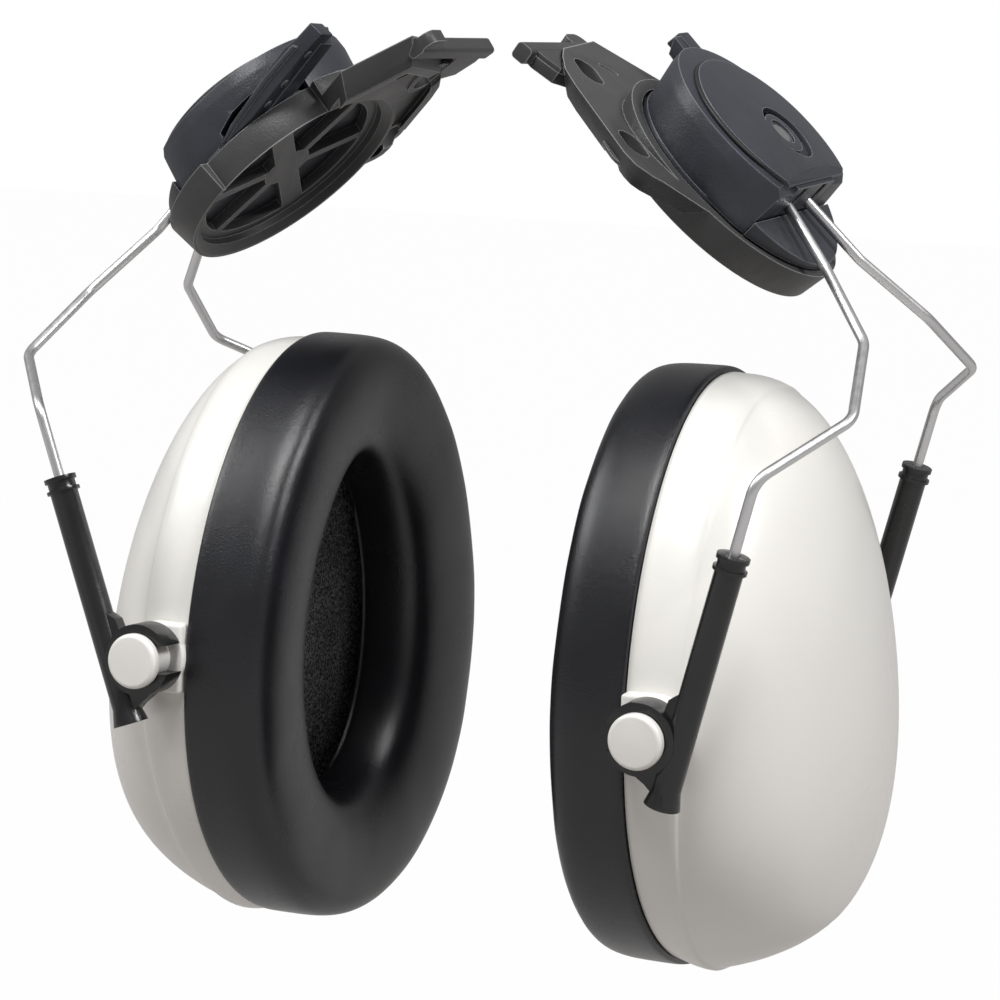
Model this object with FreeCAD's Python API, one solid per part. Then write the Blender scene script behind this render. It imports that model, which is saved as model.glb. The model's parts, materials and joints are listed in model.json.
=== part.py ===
"""A pair of helmet-mounted ear muffs: two cups on wire arms, each with an adapter for a helmet's side slot.

Units are millimetres.  World frame: +Z up, X across the head (right muff at +X), Y towards the back.  The
origin is midway between the two muffs, at the height where the wires leave their housings.  The left muff is
the right one turned half a turn about Z.

Three frames are used inside one muff:
  hub frame    X down the base disc towards the arms, Y to the back, Z out of the disc; origin at the hub
  muff frame   X away from the head, Y to the back, Z up; origin midway between the two wire exits
  cup frame    as the muff frame, with its origin on the cup's pivot axis
"""
import FreeCAD, Part
import math
import os

from FreeCAD import Placement, Rotation, Vector

os.makedirs("parts", exist_ok=True)

# ---- where the muffs stand ----
EXIT_X = 57.4               # from the middle of the head to the wire exits
TURN_IN = -2.0              # each muff is turned this far about the upright line through its wire exits
LEAN = 43.5                 # the hub frame is turned this far about +Y: 0 would be a disc facing up
EXIT_FROM_HUB = (15.9, 0.0, 0.6)   # wire exits, seen from the hub, in the muff frame's directions
TOE = {"right": 0.0, "left": 6.0}  # how far each arm springs in, about its wire exits
SWIVEL = {"right": 4.0, "left": 2.0}  # how far each arm is swivelled on its adapter

# ---- clearances ----
RUN = 0.05                  # radial, shaft in hole
GAP = 0.3                   # between pieces that move past each other
SEAT = 0.1                  # between pieces of one body that are laid together

# ---- base disc of the adapter ----
BASE_R = 24.0
BASE_TAPER = 1.0            # the underside is this much smaller in radius
BASE_H = 6.2
BASE_WALL = 2.4
SPOKE_Z = 2.6               # underside of the spoke plate
SPOKE_T = 2.0
HUB_R = 5.0
WHEEL_R = 18.4              # the spokes end here
BOWL_R = 20.6
BOWL_LIP_R = 22.3           # the bowl opens out to this at the underside
BOWL_LIP_H = 1.2
NOTCH_R = 22.0
NOTCH = (84.0, 148.0)       # the ring is cut back to the turntable between these angles, under the lever
THICK_SPOKE_W = 4.6
THIN_SPOKE_W = 1.8
SPOKE_TURN = 34.0           # the spoke pattern is turned this far from the hub frame's X
THIN_SPOKE_SPREAD = 27.0

# ---- slot plate of the adapter: a tray that runs up from the base disc, towards the helmet's slot ----
PLATE_SLOPE = 8.8           # it drops this much towards the head
PLATE_T = 3.0
PLATE_SKIRT = 4.4           # depth of the skirt round its edge
PLATE_TAPER = 3.4           # the skirt's foot is drawn in this far
PLATE_WALL = 2.0
PLATE_END = 40.0            # from the hub to the plate's far end
PLATE_CORNERS = ((-PLATE_END, 9.0), (-37.8, -7.2), (-35.6, -11.2), (-32.0, -16.2), (-27.5, -19.8), (-8.5, -32.0),
                 (-5.0, -33.2), (-1.5, -32.0), (14.0, -18.0), (10.0, 6.0), (-12.0, 19.5), (-26.5, 18.5))
SLOT_HOLES = ((-31.0, -8.0), (-10.5, -24.5))
SLOT_HOLE_R = 2.5
SLOT_HOLE_LENGTH = 8.0
SLOT_HOLE_TURN = -35.0
SLOT_BOSS_WALL = 1.2        # wall round each hole, under the plate
SLOT_BOSS_FOOT = 1.0        # it ends this far above the skirt's foot
SLIT = (-31.5, 1.0)
SLIT_SIZE = (4.0, 0.9)
SLIT_TURN = 40.0
TONGUE_LENGTH = 28.0        # bar that enters the helmet's slot
TONGUE_T = 3.2
TONGUE_TOP_SIDE = 8.5       # its end on the plate's back side
TONGUE_OUT = 0.6            # it stands this far beyond the plate's end
TONGUE_SINK = 0.4           # and this far below the plate's top
TONGUE_ROUND = 0.8
CATCH_SIZE = (6.0, 2.6)
CATCH_ROUND = 1.8
GUSSET = ((-39.0, -16.6), (-36.8, -17.4), (-32.4, -16.4), (-30.0, -10.0), (-39.0, -8.0))  # web at its front end
GUSSET_SINK = 1.4

# ---- swivel ----
POST_R = 2.5                # hub post, on which the turntable swivels
RIVET_R = 1.2
RIVET_HEAD_R = 4.2
RIVET_HEAD_T = 1.2
TURN_R = 21.0               # turntable disc
TURN_T = 2.2
LEVER_NOTCH = (142.0, 166.0, 13.0)  # angles and inner radius of the turntable's notch behind the lever
RAMP_TOP = 9.5              # the ramp under the wires starts this high, at the block's front
RAMP_SLOPE = 9.0
RAMP_R = 22.6               # it reaches over the base disc's edge

# ---- carrier: the block that holds the wires, and the bar that ends in the release lever ----
BLOCK_FRONT = 11.6
BLOCK_STEP = 3.0            # the tall front part of the block starts here
BLOCK_BACK = -10.0
BLOCK_HALF = 9.5
BLOCK_TOP = 18.5
BLOCK_CHAMFER = 2.6
CAVITY_HALF = 7.0
CAVITY_BACK_WALL = 1.2
CAVITY_FRONT = 8.6
CAVITY_FLOOR = 9.5
CAVITY_TOP = 17.0
WIRE_SLOT_FOOT = 11.0
WIRE_SLOT_TOP = 16.0
LEVER_Y = (14.0, 18.4)      # the release lever runs along the housing's side
LEVER_UNDER = ((5.0, 3.6), (-8.8, 7.3), (-27.4, 9.6))  # its lower edge, as (x, z)
LEVER_UPPER = ((-28.8, 12.6), (-15.0, 11.4), (-6.4, 10.2), (5.0, 6.0))
LEVER_BRIDGE = (-9.5, -2.0)  # the part of its length that joins it to the block
LEVER_OPEN = 96.0           # the housing's side is open from this angle on, for the lever

# ---- fold hinge ----
PIN_R = 1.25
PIN_BEHIND = 16.3           # from the wire exits to the hinge pin
CAM_FRONT = 6.5             # from the wire exits to the cam's front
CAM_BACK = 18.6
CAM_HALF_W = 6.6
CAM_HALF_T = 1.8

# ---- housing ----
HOUSING_R = 22.2
HOUSING_TOP_R = 20.6
HOUSING_TOP_X = -1.5        # middle of its upper edge, in the hub frame
HOUSING_SHOULDER = 8.0      # height at which the sloping wall starts
HOUSING_EDGE = 16.2         # height of the wall's upper edge
HOUSING_TOP = 17.6
HOUSING_WALL = 1.2
HOUSING_RIM = 6.6           # its lower rim, just over the base disc
PANEL_R = 16.8
PANEL_T = 1.0
CRESCENT_R = 7.1            # outer radius of the crescent slot
CRESCENT_W = 0.9            # its inner circle is this much smaller
CRESCENT_SET = 1.5          # and set over by this much
CRESCENT_AT = (-2.5, 1.0)
BADGE_R = 3.4               # bare round recess
BADGE_DEEP = 0.6
SPRING_HALF = 5.0
SPRING_T = 0.5

# ---- wire fork ----
WIRE_R = 0.95
LEG_HALF = 49.8             # each straight leg lies this far from the middle
EXIT_HALF = 5.0
ARM_POINTS = ((9.0, 9.0, -10.5), (19.2, 18.1, -21.4), (23.0, 34.6, -32.1))  # one leg's bends, from its exit
LEG_TOP = (11.6, LEG_HALF, -41.0)
LEG_SLANT = 15.0            # the straight legs lean in at the bottom
LEG_LENGTH = 55.0
WIRE_BEND_R = 5.0
WIRE_INSIDE = 7.0           # length inside the block before the loop

# ---- sockets that slide on the legs ----
SOCKET_TOP = 13.3           # from the leg's top bend to the socket's top
SOCKET_LENGTH = 45.7
TUBE_R = 2.5
FLANGE_R = 2.9
FLANGE_T = 0.8
COLLAR_R = 3.0
COLLAR_T = 0.6
COLLAR_DOWN = 2.2
FLARE_R = 3.2
FLARE_LENGTH = 3.0
FLARE_LIP = 0.8             # thickness of the flare's wall at its end
PIVOT_DOWN = 35.4           # pivot axis, from the socket's top
PIVOT_IN = 6.4              # pivot axis, inwards from the leg
RING_R = 6.4
RING_W = 5.2                # a little wider than the tube
RING_GAP = 5.0
WEB_REACH = (9.6, 12.0)     # how far the webs run along the tube, below and above the pivot
WEB_T = 2.6
WEB_BEND = (7.5, 8.2)       # the bends in the webs' edges, below and above the pivot
WEB_HOLLOW = 1.1            # how far the bends stand off the tube
WEB_TANGENT = math.radians(25.0)  # where the webs leave the ring
WEB_SINK = 0.4              # their corners lie this far inside the ring

# ---- cup ----
CUP_H = 107.0
CUP_W = 89.0
EGG = 0.09                  # how much wider an outline is below than above
CUP_DEPTH = 30.8
DOME_POWER = 2.6
DOME_DROP = 15.0            # the dome's apex lies this far below the middle
DOME_BOW = 2.1              # above 1, the dome drops late
CUP_WALL = 2.4
RIM_IN = 5.6                # rim plane, inwards from the pivot axis
CUP_UP = 1.6                # middle of the cup, above the pivot axis
STUD_R = 3.6                # pin of the cap, through the socket's ring
BOSS_R = 6.2
BOSS_DEEP = 8.0
CAP_R = 4.9
CAP_T = 1.9
CAP_ROUND = 0.8
STUD_DEEP = 4.0             # how deep the pin is pressed into the cup's boss
LINER_IN = 3.0              # the liner foam's face, behind the rim plane
LINER_T = 12.0
LINER_SIDE = 1.5

# ---- ear cushion ----
CUSHION_H = 109.6
CUSHION_W = 92.0
CUSHION_T = 15.3
CUSHION_ROUND = 6.0
OPENING_H = 66.0
OPENING_W = 42.0
SKIN_T = 0.6
BACK_PLATE_T = 1.6
BACK_PLATE_LIP = 1.6        # its lip stands this far into the cup
BACK_PLATE_PLAY = 1.1
BACK_PLATE_INSET = 1.0      # its edge, inside the cover's skin
BACK_PLATE_WALL = 1.8       # of its lip
BACK_PLATE_BORE = 3.0       # its opening is this much larger than the cushion's, all round

X, Y, Z = Vector(1, 0, 0), Vector(0, 1, 0), Vector(0, 0, 1)
ORIGIN = Vector(0, 0, 0)


def turn(axis, degrees, about=ORIGIN):
    """A placement that turns a shape about a line."""
    return Placement(ORIGIN, Rotation(axis, degrees), about)


def shift(x=0.0, y=0.0, z=0.0):
    return Placement(Vector(x, y, z), Rotation())


def placed(shape, placement):
    copy = shape.copy()
    copy.transformShape(placement.toMatrix(), True)
    return copy


def cylinder(r, h, at=ORIGIN, axis=Z):
    return Part.makeCylinder(r, h, at, axis)


def box(x0, x1, y0, y1, z0, z1):
    return Part.makeBox(x1 - x0, y1 - y0, z1 - z0, Vector(x0, y0, z0))


def prism(points, z0, z1):
    """An upright prism on a list of (x, y) corners."""
    wire = Part.makePolygon([Vector(x, y, z0) for x, y in points] + [Vector(*points[0], z0)])
    return Part.Face(wire).extrude(Vector(0, 0, z1 - z0))


def rounded_prism(points, radii, z0, z1):
    """An upright prism whose corners are rounded, each by its own radius."""
    solid = prism(points, z0, z1)
    for (x, y), r in zip(points, radii):
        if r <= 0:
            continue
        upright = [e for e in solid.Edges if len(e.Vertexes) == 2 and all(
            math.hypot(v.X - x, v.Y - y) < 1e-4 for v in e.Vertexes)]
        solid = solid.makeFillet(r, upright)
    return solid


def oval(width, height, depth, up=0.0, flare=EGG):
    """A closed egg-shaped outline in the plane X = depth, a little wider below than above."""
    count = 32
    points = []
    for i in range(count):
        a = 2 * math.pi * i / count
        y = width / 2 * math.cos(a) * (1 - flare * math.sin(a))
        points.append(Vector(depth, y, height / 2 * math.sin(a) + up))
    curve = Part.BSplineCurve()
    curve.interpolate(points, PeriodicFlag=True)
    return Part.Wire(curve.toShape())


def oval_prism(width, height, x0, x1, up=0.0):
    return Part.Face(oval(width, height, x0, up)).extrude(Vector(x1 - x0, 0, 0))


def bent_path(points, radius):
    """Straight runs through the points, with an arc of one radius at each bend."""
    edges = []
    start = points[0]
    for before, corner, after in zip(points, points[1:], points[2:]):
        a = (before - corner).normalize()
        b = (after - corner).normalize()
        half = a.getAngle(b) / 2
        reach = radius / math.tan(half)
        middle = (a + b).normalize()
        inner = corner + middle * (radius / math.sin(half) - radius)
        edges.append(Part.LineSegment(start, corner + a * reach).toShape())
        edges.append(Part.Arc(corner + a * reach, inner, corner + b * reach).toShape())
        start = corner + b * reach
    edges.append(Part.LineSegment(start, points[-1]).toShape())
    return edges


def pipe(edges, radius):
    """A round bar along a path of joined edges."""
    path = Part.Wire(edges)
    start = edges[0].valueAt(edges[0].FirstParameter)
    direction = edges[0].tangentAt(edges[0].FirstParameter)
    ring = Part.Wire(Part.makeCircle(radius, start, direction))
    return path.makePipeShell([ring], True, False)


# ---------------------------------------------------------------- adapter (hub frame)

def plate_frame():
    """Placement of the slot plate: X and Y as the hub frame, Z up through its top face at 0."""
    return shift(z=BASE_H) * Placement(ORIGIN, Rotation(Y, -PLATE_SLOPE))


def plate_outline():
    """The slot plate's corners, seen from above; its last side lies inside the base disc."""
    return list(PLATE_CORNERS)


def round_ended(length, r, z0, z1):
    """A round-ended slot along X."""
    half = length / 2 - r
    body = box(-half, half, -r, r, z0, z1)
    return body.fuse([cylinder(r, z1 - z0, Vector(end, 0, z0)) for end in (-half, half)]).removeSplitter()


def drawn_in(points, by):
    """A polygon with every side moved inwards by the same distance."""
    inner = []
    for before, corner, after in zip(points[-1:] + points[:-1], points, points[1:] + points[:1]):
        (ux, uy), (vx, vy) = [((b[0] - a[0]) / math.dist(a, b), (b[1] - a[1]) / math.dist(a, b))
                              for a, b in ((before, corner), (corner, after))]
        bend = 1 + ux * vx + uy * vy
        inner.append((corner[0] - by * (uy + vy) / bend, corner[1] + by * (ux + vx) / bend))
    return inner


def tapered_prism(points, z0, z1, taper):
    """An upright prism whose foot is drawn in."""
    foot = drawn_in(points, taper)
    wires = [Part.makePolygon([Vector(x, y, z) for x, y in outline + outline[:1]])
             for outline, z in ((foot, z0), (points, z1))]
    return Part.makeLoft(wires, True, True)


def slot_plate():
    tray = tapered_prism(plate_outline(), -PLATE_SKIRT, 0, PLATE_TAPER)
    hollow = drawn_in(plate_outline(), PLATE_WALL + PLATE_TAPER * PLATE_T / PLATE_SKIRT)
    slope = PLATE_TAPER / PLATE_SKIRT
    tray = tray.cut(tapered_prism(hollow, -PLATE_SKIRT - 1, -PLATE_T, slope * (PLATE_SKIRT + 1 - PLATE_T)))
    for x, y in SLOT_HOLES:
        at = shift(x, y) * turn(Z, SLOT_HOLE_TURN)
        boss = round_ended(SLOT_HOLE_LENGTH + 2 * SLOT_BOSS_WALL, SLOT_HOLE_R + SLOT_BOSS_WALL,
                           SLOT_BOSS_FOOT - PLATE_SKIRT, 0.2 - PLATE_T)
        hole = round_ended(SLOT_HOLE_LENGTH, SLOT_HOLE_R, -PLATE_SKIRT - 1, 1)
        tray = tray.fuse(placed(boss, at)).cut(placed(hole, at))
    slit = box(-SLIT_SIZE[0] / 2, SLIT_SIZE[0] / 2, -SLIT_SIZE[1] / 2, SLIT_SIZE[1] / 2, -PLATE_SKIRT, 1)
    return tray.cut(placed(slit, shift(*SLIT) * turn(Z, SLIT_TURN)))


def tongue():
    """The bar at the plate's end that enters the helmet's slot, with its catch."""
    x0, y1 = -PLATE_END - TONGUE_OUT, TONGUE_TOP_SIDE
    foot = -TONGUE_T - TONGUE_SINK
    bar = box(x0, x0 + TONGUE_T, y1 - TONGUE_LENGTH, y1, foot, -TONGUE_SINK)
    bar = bar.makeFillet(TONGUE_ROUND, [e for e in bar.Edges if abs(e.Vertexes[0].Y - e.Vertexes[-1].Y) > 1])
    length, depth = CATCH_SIZE
    catch = box(x0 - depth, x0 + TONGUE_T / 2, y1 - length, y1, -TONGUE_T, -2 * TONGUE_SINK)
    outer = [e for e in catch.Edges if abs(e.Vertexes[0].Z - e.Vertexes[-1].Z) > 1 and e.Vertexes[0].X < x0]
    return bar.fuse([catch.makeFillet(CATCH_ROUND, outer), prism(GUSSET, foot, -GUSSET_SINK)])


def spoke(width, angle):
    bar = box(0, WHEEL_R + 1, -width / 2, width / 2, SPOKE_Z, SPOKE_Z + SPOKE_T)
    return placed(bar, turn(Z, angle))


def sector(inner, outer, start, stop, z0, z1):
    """Part of a ring between two angles, in degrees from X."""
    pie = Part.makeCylinder(outer, z1 - z0, Vector(0, 0, z0), Z, stop - start)
    return placed(pie.cut(cylinder(inner, z1 - z0, Vector(0, 0, z0))), turn(Z, start))


def adapter_plate():
    base = Part.makeCone(BASE_R - BASE_TAPER, BASE_R, BASE_H)
    plate = placed(slot_plate().fuse(tongue()), plate_frame())
    above = SPOKE_Z + SPOKE_T
    body = base.fuse(plate).cut(cylinder(BASE_R - BASE_WALL, 40, Vector(0, 0, above)))
    body = body.cut([box(-60, 60, -60, 60, BASE_H, 40), sector(NOTCH_R, 60, *NOTCH, -20, 40)])
    body = body.cut([cylinder(BOWL_LIP_R, 20, Vector(0, 0, -20)), Part.makeCone(BOWL_LIP_R, BOWL_R, BOWL_LIP_H),
                     cylinder(BOWL_R, SPOKE_Z), cylinder(WHEEL_R, 40, Vector(0, 0, -20))])
    wheel = [cylinder(HUB_R, SPOKE_T, Vector(0, 0, SPOKE_Z)),
             cylinder(POST_R, turntable_top() + GAP - above, Vector(0, 0, above))]
    for side in (0, 180):
        wheel.append(spoke(THICK_SPOKE_W, SPOKE_TURN + 90 + side))
        for spread in (-THIN_SPOKE_SPREAD, THIN_SPOKE_SPREAD):
            wheel.append(spoke(THIN_SPOKE_W, SPOKE_TURN + side + spread))
    return body.fuse(wheel).cut(rivet_shank()).removeSplitter()


def turntable_z():
    return SPOKE_Z + SPOKE_T + SEAT


def turntable_top():
    return turntable_z() + TURN_T


def rivet_top():
    return turntable_top() + GAP + RIVET_HEAD_T


def rivet_shank():
    foot = SPOKE_Z + SPOKE_T / 2
    return cylinder(RIVET_R, rivet_top() - foot, Vector(0, 0, foot))


def hub_rivet():
    """Drive rivet, pressed into the adapter's hub post: its head holds the turntable on."""
    head = cylinder(RIVET_HEAD_R, RIVET_HEAD_T, Vector(0, 0, rivet_top() - RIVET_HEAD_T))
    return head.fuse(rivet_shank()).removeSplitter()


def turntable():
    """Disc that swivels on the hub post, with a ramp under the wires and a notch behind the lever."""
    z0, z1 = turntable_z(), turntable_top()
    body = cylinder(TURN_R, TURN_T, Vector(0, 0, z0))
    ramp = cylinder(RAMP_R, 20, Vector(0, 0, HOUSING_RIM)).cut(box(-60, BLOCK_FRONT + GAP, -60, 60, 0, 60))
    over = placed(box(-60, 60, -60, 60, 0, 60),
                  shift(BLOCK_FRONT, 0, RAMP_TOP) * Placement(ORIGIN, Rotation(Y, RAMP_SLOPE)))
    start, stop, inner = LEVER_NOTCH
    body = body.fuse(ramp.cut(over)).cut(sector(inner, 60, start, stop, 0, 40))
    return body.cut(cylinder(POST_R + RUN, 20, Vector(0, 0, z0 - 5))).removeSplitter()


# ---------------------------------------------------------------- carrier, cam and housing (hub frame)

def lever():
    """Release lever: a bar along the housing's side that rises towards its free end."""
    y0, y1 = LEVER_Y
    corners = [Vector(x, y0, z) for x, z in LEVER_UNDER + LEVER_UPPER]
    bar = Part.Face(Part.makePolygon(corners + corners[:1])).extrude(Vector(0, y1 - y0, 0))
    x0, x1 = LEVER_BRIDGE
    bridge = box(x0, x1, BLOCK_HALF - 1, y0 + 1, turntable_top() + SEAT, lever_top(x1))
    return bar.fuse(bridge).cut(cylinder(TURN_R + SEAT, turntable_top() + SEAT))


def lever_top(x):
    """Height of the lever's upper edge at a place along it, on its steeper front part."""
    (x0, z0), (x1, z1) = LEVER_UPPER[-2:]
    return z0 + (z1 - z0) * (x - x0) / (x1 - x0)


def carrier(channel):
    """Block in which the wire fork's cam rocks, and the release lever at its side."""
    foot = turntable_top()
    low = box(BLOCK_BACK, BLOCK_FRONT, -BLOCK_HALF, BLOCK_HALF, foot, HOUSING_TOP - HOUSING_WALL - SEAT)
    tall = box(BLOCK_STEP, BLOCK_FRONT, -BLOCK_HALF, BLOCK_HALF, foot, BLOCK_TOP)
    ridge = [e for e in tall.Edges if min(v.X for v in e.Vertexes) > BLOCK_STEP + 1
             and min(v.Z for v in e.Vertexes) > foot + 1]
    body = tall.makeChamfer(BLOCK_CHAMFER, ridge).fuse([low, lever()])
    cavity = box(BLOCK_BACK + CAVITY_BACK_WALL, CAVITY_FRONT, -CAVITY_HALF, CAVITY_HALF, CAVITY_FLOOR, CAVITY_TOP)
    body = body.cut(cavity)
    for side in (-1, 1):
        middle = side * EXIT_HALF
        slot = box(CAVITY_FRONT - 1, BLOCK_FRONT + 1, middle - WIRE_R - GAP, middle + WIRE_R + GAP, WIRE_SLOT_FOOT,
                   WIRE_SLOT_TOP)
        body = body.cut(slot)
    rivet_room = cylinder(RIVET_HEAD_R + GAP, rivet_top() + GAP)
    return body.cut([hinge_bar(PIN_R), channel, rivet_room]).removeSplitter()


def wire_run_frame():
    """Placement of the cam's frame in the muff frame: X out along the wires as they leave the block."""
    x, _, z = ARM_POINTS[0]
    return Placement(ORIGIN, Rotation(Y, math.degrees(math.atan2(-z, x))))


def cam_to_hub():
    """Placement of the cam's frame in the hub frame."""
    return exit_to_hub().inverse() * wire_run_frame()


def hinge_bar(r, half=BLOCK_HALF + 1):
    return placed(cylinder(r, 2 * half, Vector(-PIN_BEHIND, -half, 0), Y), cam_to_hub())


def hinge_pin():
    return hinge_bar(PIN_R, BLOCK_HALF)


def fork_cam(fork):
    """Moulded cam round the wire fork's loop, rocking on the hinge pin."""
    body = box(-CAM_BACK, -CAM_FRONT, -CAM_HALF_W, CAM_HALF_W, -CAM_HALF_T, CAM_HALF_T)
    ends = [e for e in body.Edges if abs(e.Vertexes[0].Y - e.Vertexes[-1].Y) > 1 and e.Vertexes[0].X < -CAM_FRONT - 1]
    body = placed(body.makeFillet(CAM_HALF_T * 0.9, ends), cam_to_hub())
    return body.cut([hinge_bar(PIN_R + RUN), fork]).removeSplitter()


def housing_form(inset, top):
    """Round body with a sloping wall, a low crown and a flat front."""
    r, top_r = HOUSING_R - inset, HOUSING_TOP_R - inset
    edge = HOUSING_EDGE - (HOUSING_TOP - top)
    low = Vector(0, 0, HOUSING_SHOULDER)
    high = Vector(HOUSING_TOP_X, 0, edge)
    rings = [Part.Wire(Part.makeCircle(radius, at)) for radius, at in ((r, low), (top_r, high))]
    wall = Part.makeLoft(rings, True, True)
    bend = (top_r ** 2 + (top - edge) ** 2) / (2 * (top - edge))
    crown = Part.makeSphere(bend, Vector(HOUSING_TOP_X, 0, top - bend)).common(cylinder(top_r, top, high))
    solid = cylinder(r, HOUSING_SHOULDER).fuse([wall, crown])
    return solid.cut(box(BLOCK_FRONT - inset, 60, -60, 60, -60, 60))


def block_space(margin):
    half = BLOCK_HALF + margin
    return box(BLOCK_STEP - margin, 60, -half, half, -20, 60)


def housing_cover():
    shell = housing_form(0.0, HOUSING_TOP).cut(housing_form(HOUSING_WALL, HOUSING_TOP - HOUSING_WALL))
    foot = box(-80, 80, -80, 80, -80, HOUSING_RIM)
    upper = [Vector(x, LEVER_Y[0] - 3, z + SEAT) for x, z in LEVER_UPPER]
    ends = [Vector(upper[-1].x, upper[-1].y, 0), Vector(upper[0].x, upper[0].y, 0)]
    side = Part.Face(Part.makePolygon(upper + ends + upper[:1])).extrude(Vector(0, 20, 0))
    side = side.common(sector(TURN_R / 2, 60, LEVER_OPEN, NOTCH[1], -20, 40))
    pocket = box(BLOCK_BACK - SEAT, 60, -BLOCK_HALF - SEAT, BLOCK_HALF + SEAT, -20, HOUSING_TOP - HOUSING_WALL)
    chamfer = placed(box(0, 60, -60, 60, 0, 60), shift(BLOCK_FRONT - BLOCK_CHAMFER, 0, HOUSING_TOP) * turn(Y, 45.0))
    disc = cylinder(TURN_R + SEAT, turntable_top() + SEAT)
    return largest(shell.cut([foot, disc, side, pocket, chamfer, block_space(SEAT)]))


def largest(shape):
    return max(shape.Solids, key=lambda s: s.Volume)


def cover_panel():
    """Raised tear-shaped panel over the housing, with a crescent slot and a bare round recess."""
    form = housing_form(0.0, HOUSING_TOP)
    skin = placed(form, shift(z=PANEL_T)).cut(placed(form, shift(z=SEAT)))
    outline = cylinder(PANEL_R, 20, Vector(HOUSING_TOP_X, 0, HOUSING_EDGE - PANEL_T))
    panel = skin.common(outline).cut(box(BLOCK_FRONT - BLOCK_CHAMFER, 60, -60, 60, 0, 60))
    panel = largest(panel.cut(block_space(SEAT)))
    centre = Vector(*CRESCENT_AT, HOUSING_EDGE - 2)
    crescent = cylinder(CRESCENT_R, 9, centre).cut(
        cylinder(CRESCENT_R - CRESCENT_W, 9, centre + Vector(0, -CRESCENT_SET, 0)))
    recess = cylinder(BADGE_R, 5, Vector(centre.x, centre.y, HOUSING_TOP + PANEL_T - BADGE_DEEP))
    return largest(panel.cut([crescent, recess]))


def toggle_spring():
    """Leaf spring across the cavity, behind the cam, that snaps it between its two positions."""
    x0 = BLOCK_BACK + CAVITY_BACK_WALL + SEAT
    return box(x0, x0 + SPRING_T, -SPRING_HALF, SPRING_HALF, CAVITY_FLOOR + SEAT,
               HOUSING_TOP - HOUSING_WALL - GAP)


# ---------------------------------------------------------------- wire fork (muff frame)

def leg_direction():
    slant = math.radians(LEG_SLANT)
    return Vector(-math.sin(slant), 0, -math.cos(slant))


def leg_point(down, half=LEG_HALF):
    """A point on the straight leg's line, measured down from its top bend."""
    top = Vector(LEG_TOP[0], half, LEG_TOP[2])
    return top + leg_direction() * down


def fork_points(toe):
    """One leg's points from its exit to its end, with the arm sprung in by the toe angle."""
    points = [Vector(*p) for p in ARM_POINTS] + [leg_point(0), leg_point(LEG_LENGTH)]
    swing = Rotation(Y, toe)
    return [Vector(0, EXIT_HALF, 0)] + [swing.multVec(p) for p in points]


def wire_fork(toe, radius=WIRE_R):
    """Both legs and the loop that joins them inside the block, bent from one wire."""
    leg = fork_points(toe)
    inward = wire_run_frame().Rotation.multVec(X) * -1
    back = [leg[0] + inward * WIRE_INSIDE] + leg
    front = [Vector(p.x, -p.y, p.z) for p in back]
    right_run = bent_path(list(reversed(back)), WIRE_BEND_R)
    left_run = bent_path(front, WIRE_BEND_R)
    loop_top = Vector(back[0].x, 0, back[0].z) + inward * EXIT_HALF
    loop = Part.Arc(back[0], loop_top, front[0]).toShape()
    return pipe(right_run + [loop] + left_run, radius)


# ---------------------------------------------------------------- sockets (muff frame, before the toe)

def pivot_point(side=1):
    """Where the cup's pivot axis crosses one leg's plane."""
    slant = math.radians(LEG_SLANT)
    inward = Vector(-math.cos(slant), 0, math.sin(slant))
    return leg_point(SOCKET_TOP + PIVOT_DOWN, side * LEG_HALF) + inward * PIVOT_IN


def socket(side):
    """One black socket: a tube on the leg, and an open ring that snaps round a cap's pin."""
    down = leg_direction()
    top = leg_point(SOCKET_TOP, side * LEG_HALF)
    tube = cylinder(TUBE_R, SOCKET_LENGTH, top, down)
    flange = cylinder(FLANGE_R, FLANGE_T, top, down)
    collar = cylinder(COLLAR_R, COLLAR_T, top + down * COLLAR_DOWN, down)
    flare_top = top + down * (SOCKET_LENGTH - FLARE_LENGTH)
    flare = Part.makeCone(TUBE_R, FLARE_R, FLARE_LENGTH, flare_top, down)
    pivot = pivot_point(side)
    ring_in = pivot + Vector(0, -RING_W / 2, 0)
    ring = cylinder(RING_R, RING_W, ring_in, Y)
    webs = []
    across = Vector(down.z, 0, -down.x)
    inward = across if across.dot(pivot - top - down * PIVOT_DOWN) > 0 else across * -1
    middle = top + down * PIVOT_DOWN
    for way, reach, bend_at in zip((1, -1), WEB_REACH, WEB_BEND):
        foot = middle + down * (way * reach)
        bend = middle + down * (way * bend_at) + inward * (TUBE_R + WEB_HOLLOW)
        edge = pivot + (down * math.cos(WEB_TANGENT) + inward * math.sin(WEB_TANGENT)) * (way * (RING_R - WEB_SINK))
        corners = [p + Vector(0, -WEB_T / 2, 0) for p in (foot, bend, edge, pivot, middle)]
        webs.append(Part.Face(Part.makePolygon(corners + corners[:1])).extrude(Vector(0, WEB_T, 0)))
    body = tube.fuse([flange, collar, flare, ring] + webs)
    body = body.cut(cylinder(STUD_R + RUN, 3 * RING_W, ring_in + Vector(0, -RING_W, 0), Y))
    gap = box(-2 * RING_R, 0, -RING_W, RING_W, -RING_GAP / 2, RING_GAP / 2)
    body = body.cut(placed(gap, Placement(pivot, Rotation(Y, 0))))
    body = body.cut(cylinder(WIRE_R + RUN, SOCKET_LENGTH + 2, top - down, down))
    mouth = Part.makeCone(WIRE_R + RUN, FLARE_R - FLARE_LIP, FLARE_LENGTH, flare_top + down * 0.01, down)
    return largest(body.cut(mouth).removeSplitter())


# ---------------------------------------------------------------- cup (cup frame)

def dome_middle(t):
    """Height of the dome's middle at a share t of its depth."""
    return CUP_UP - DOME_DROP * t ** DOME_BOW


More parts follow.
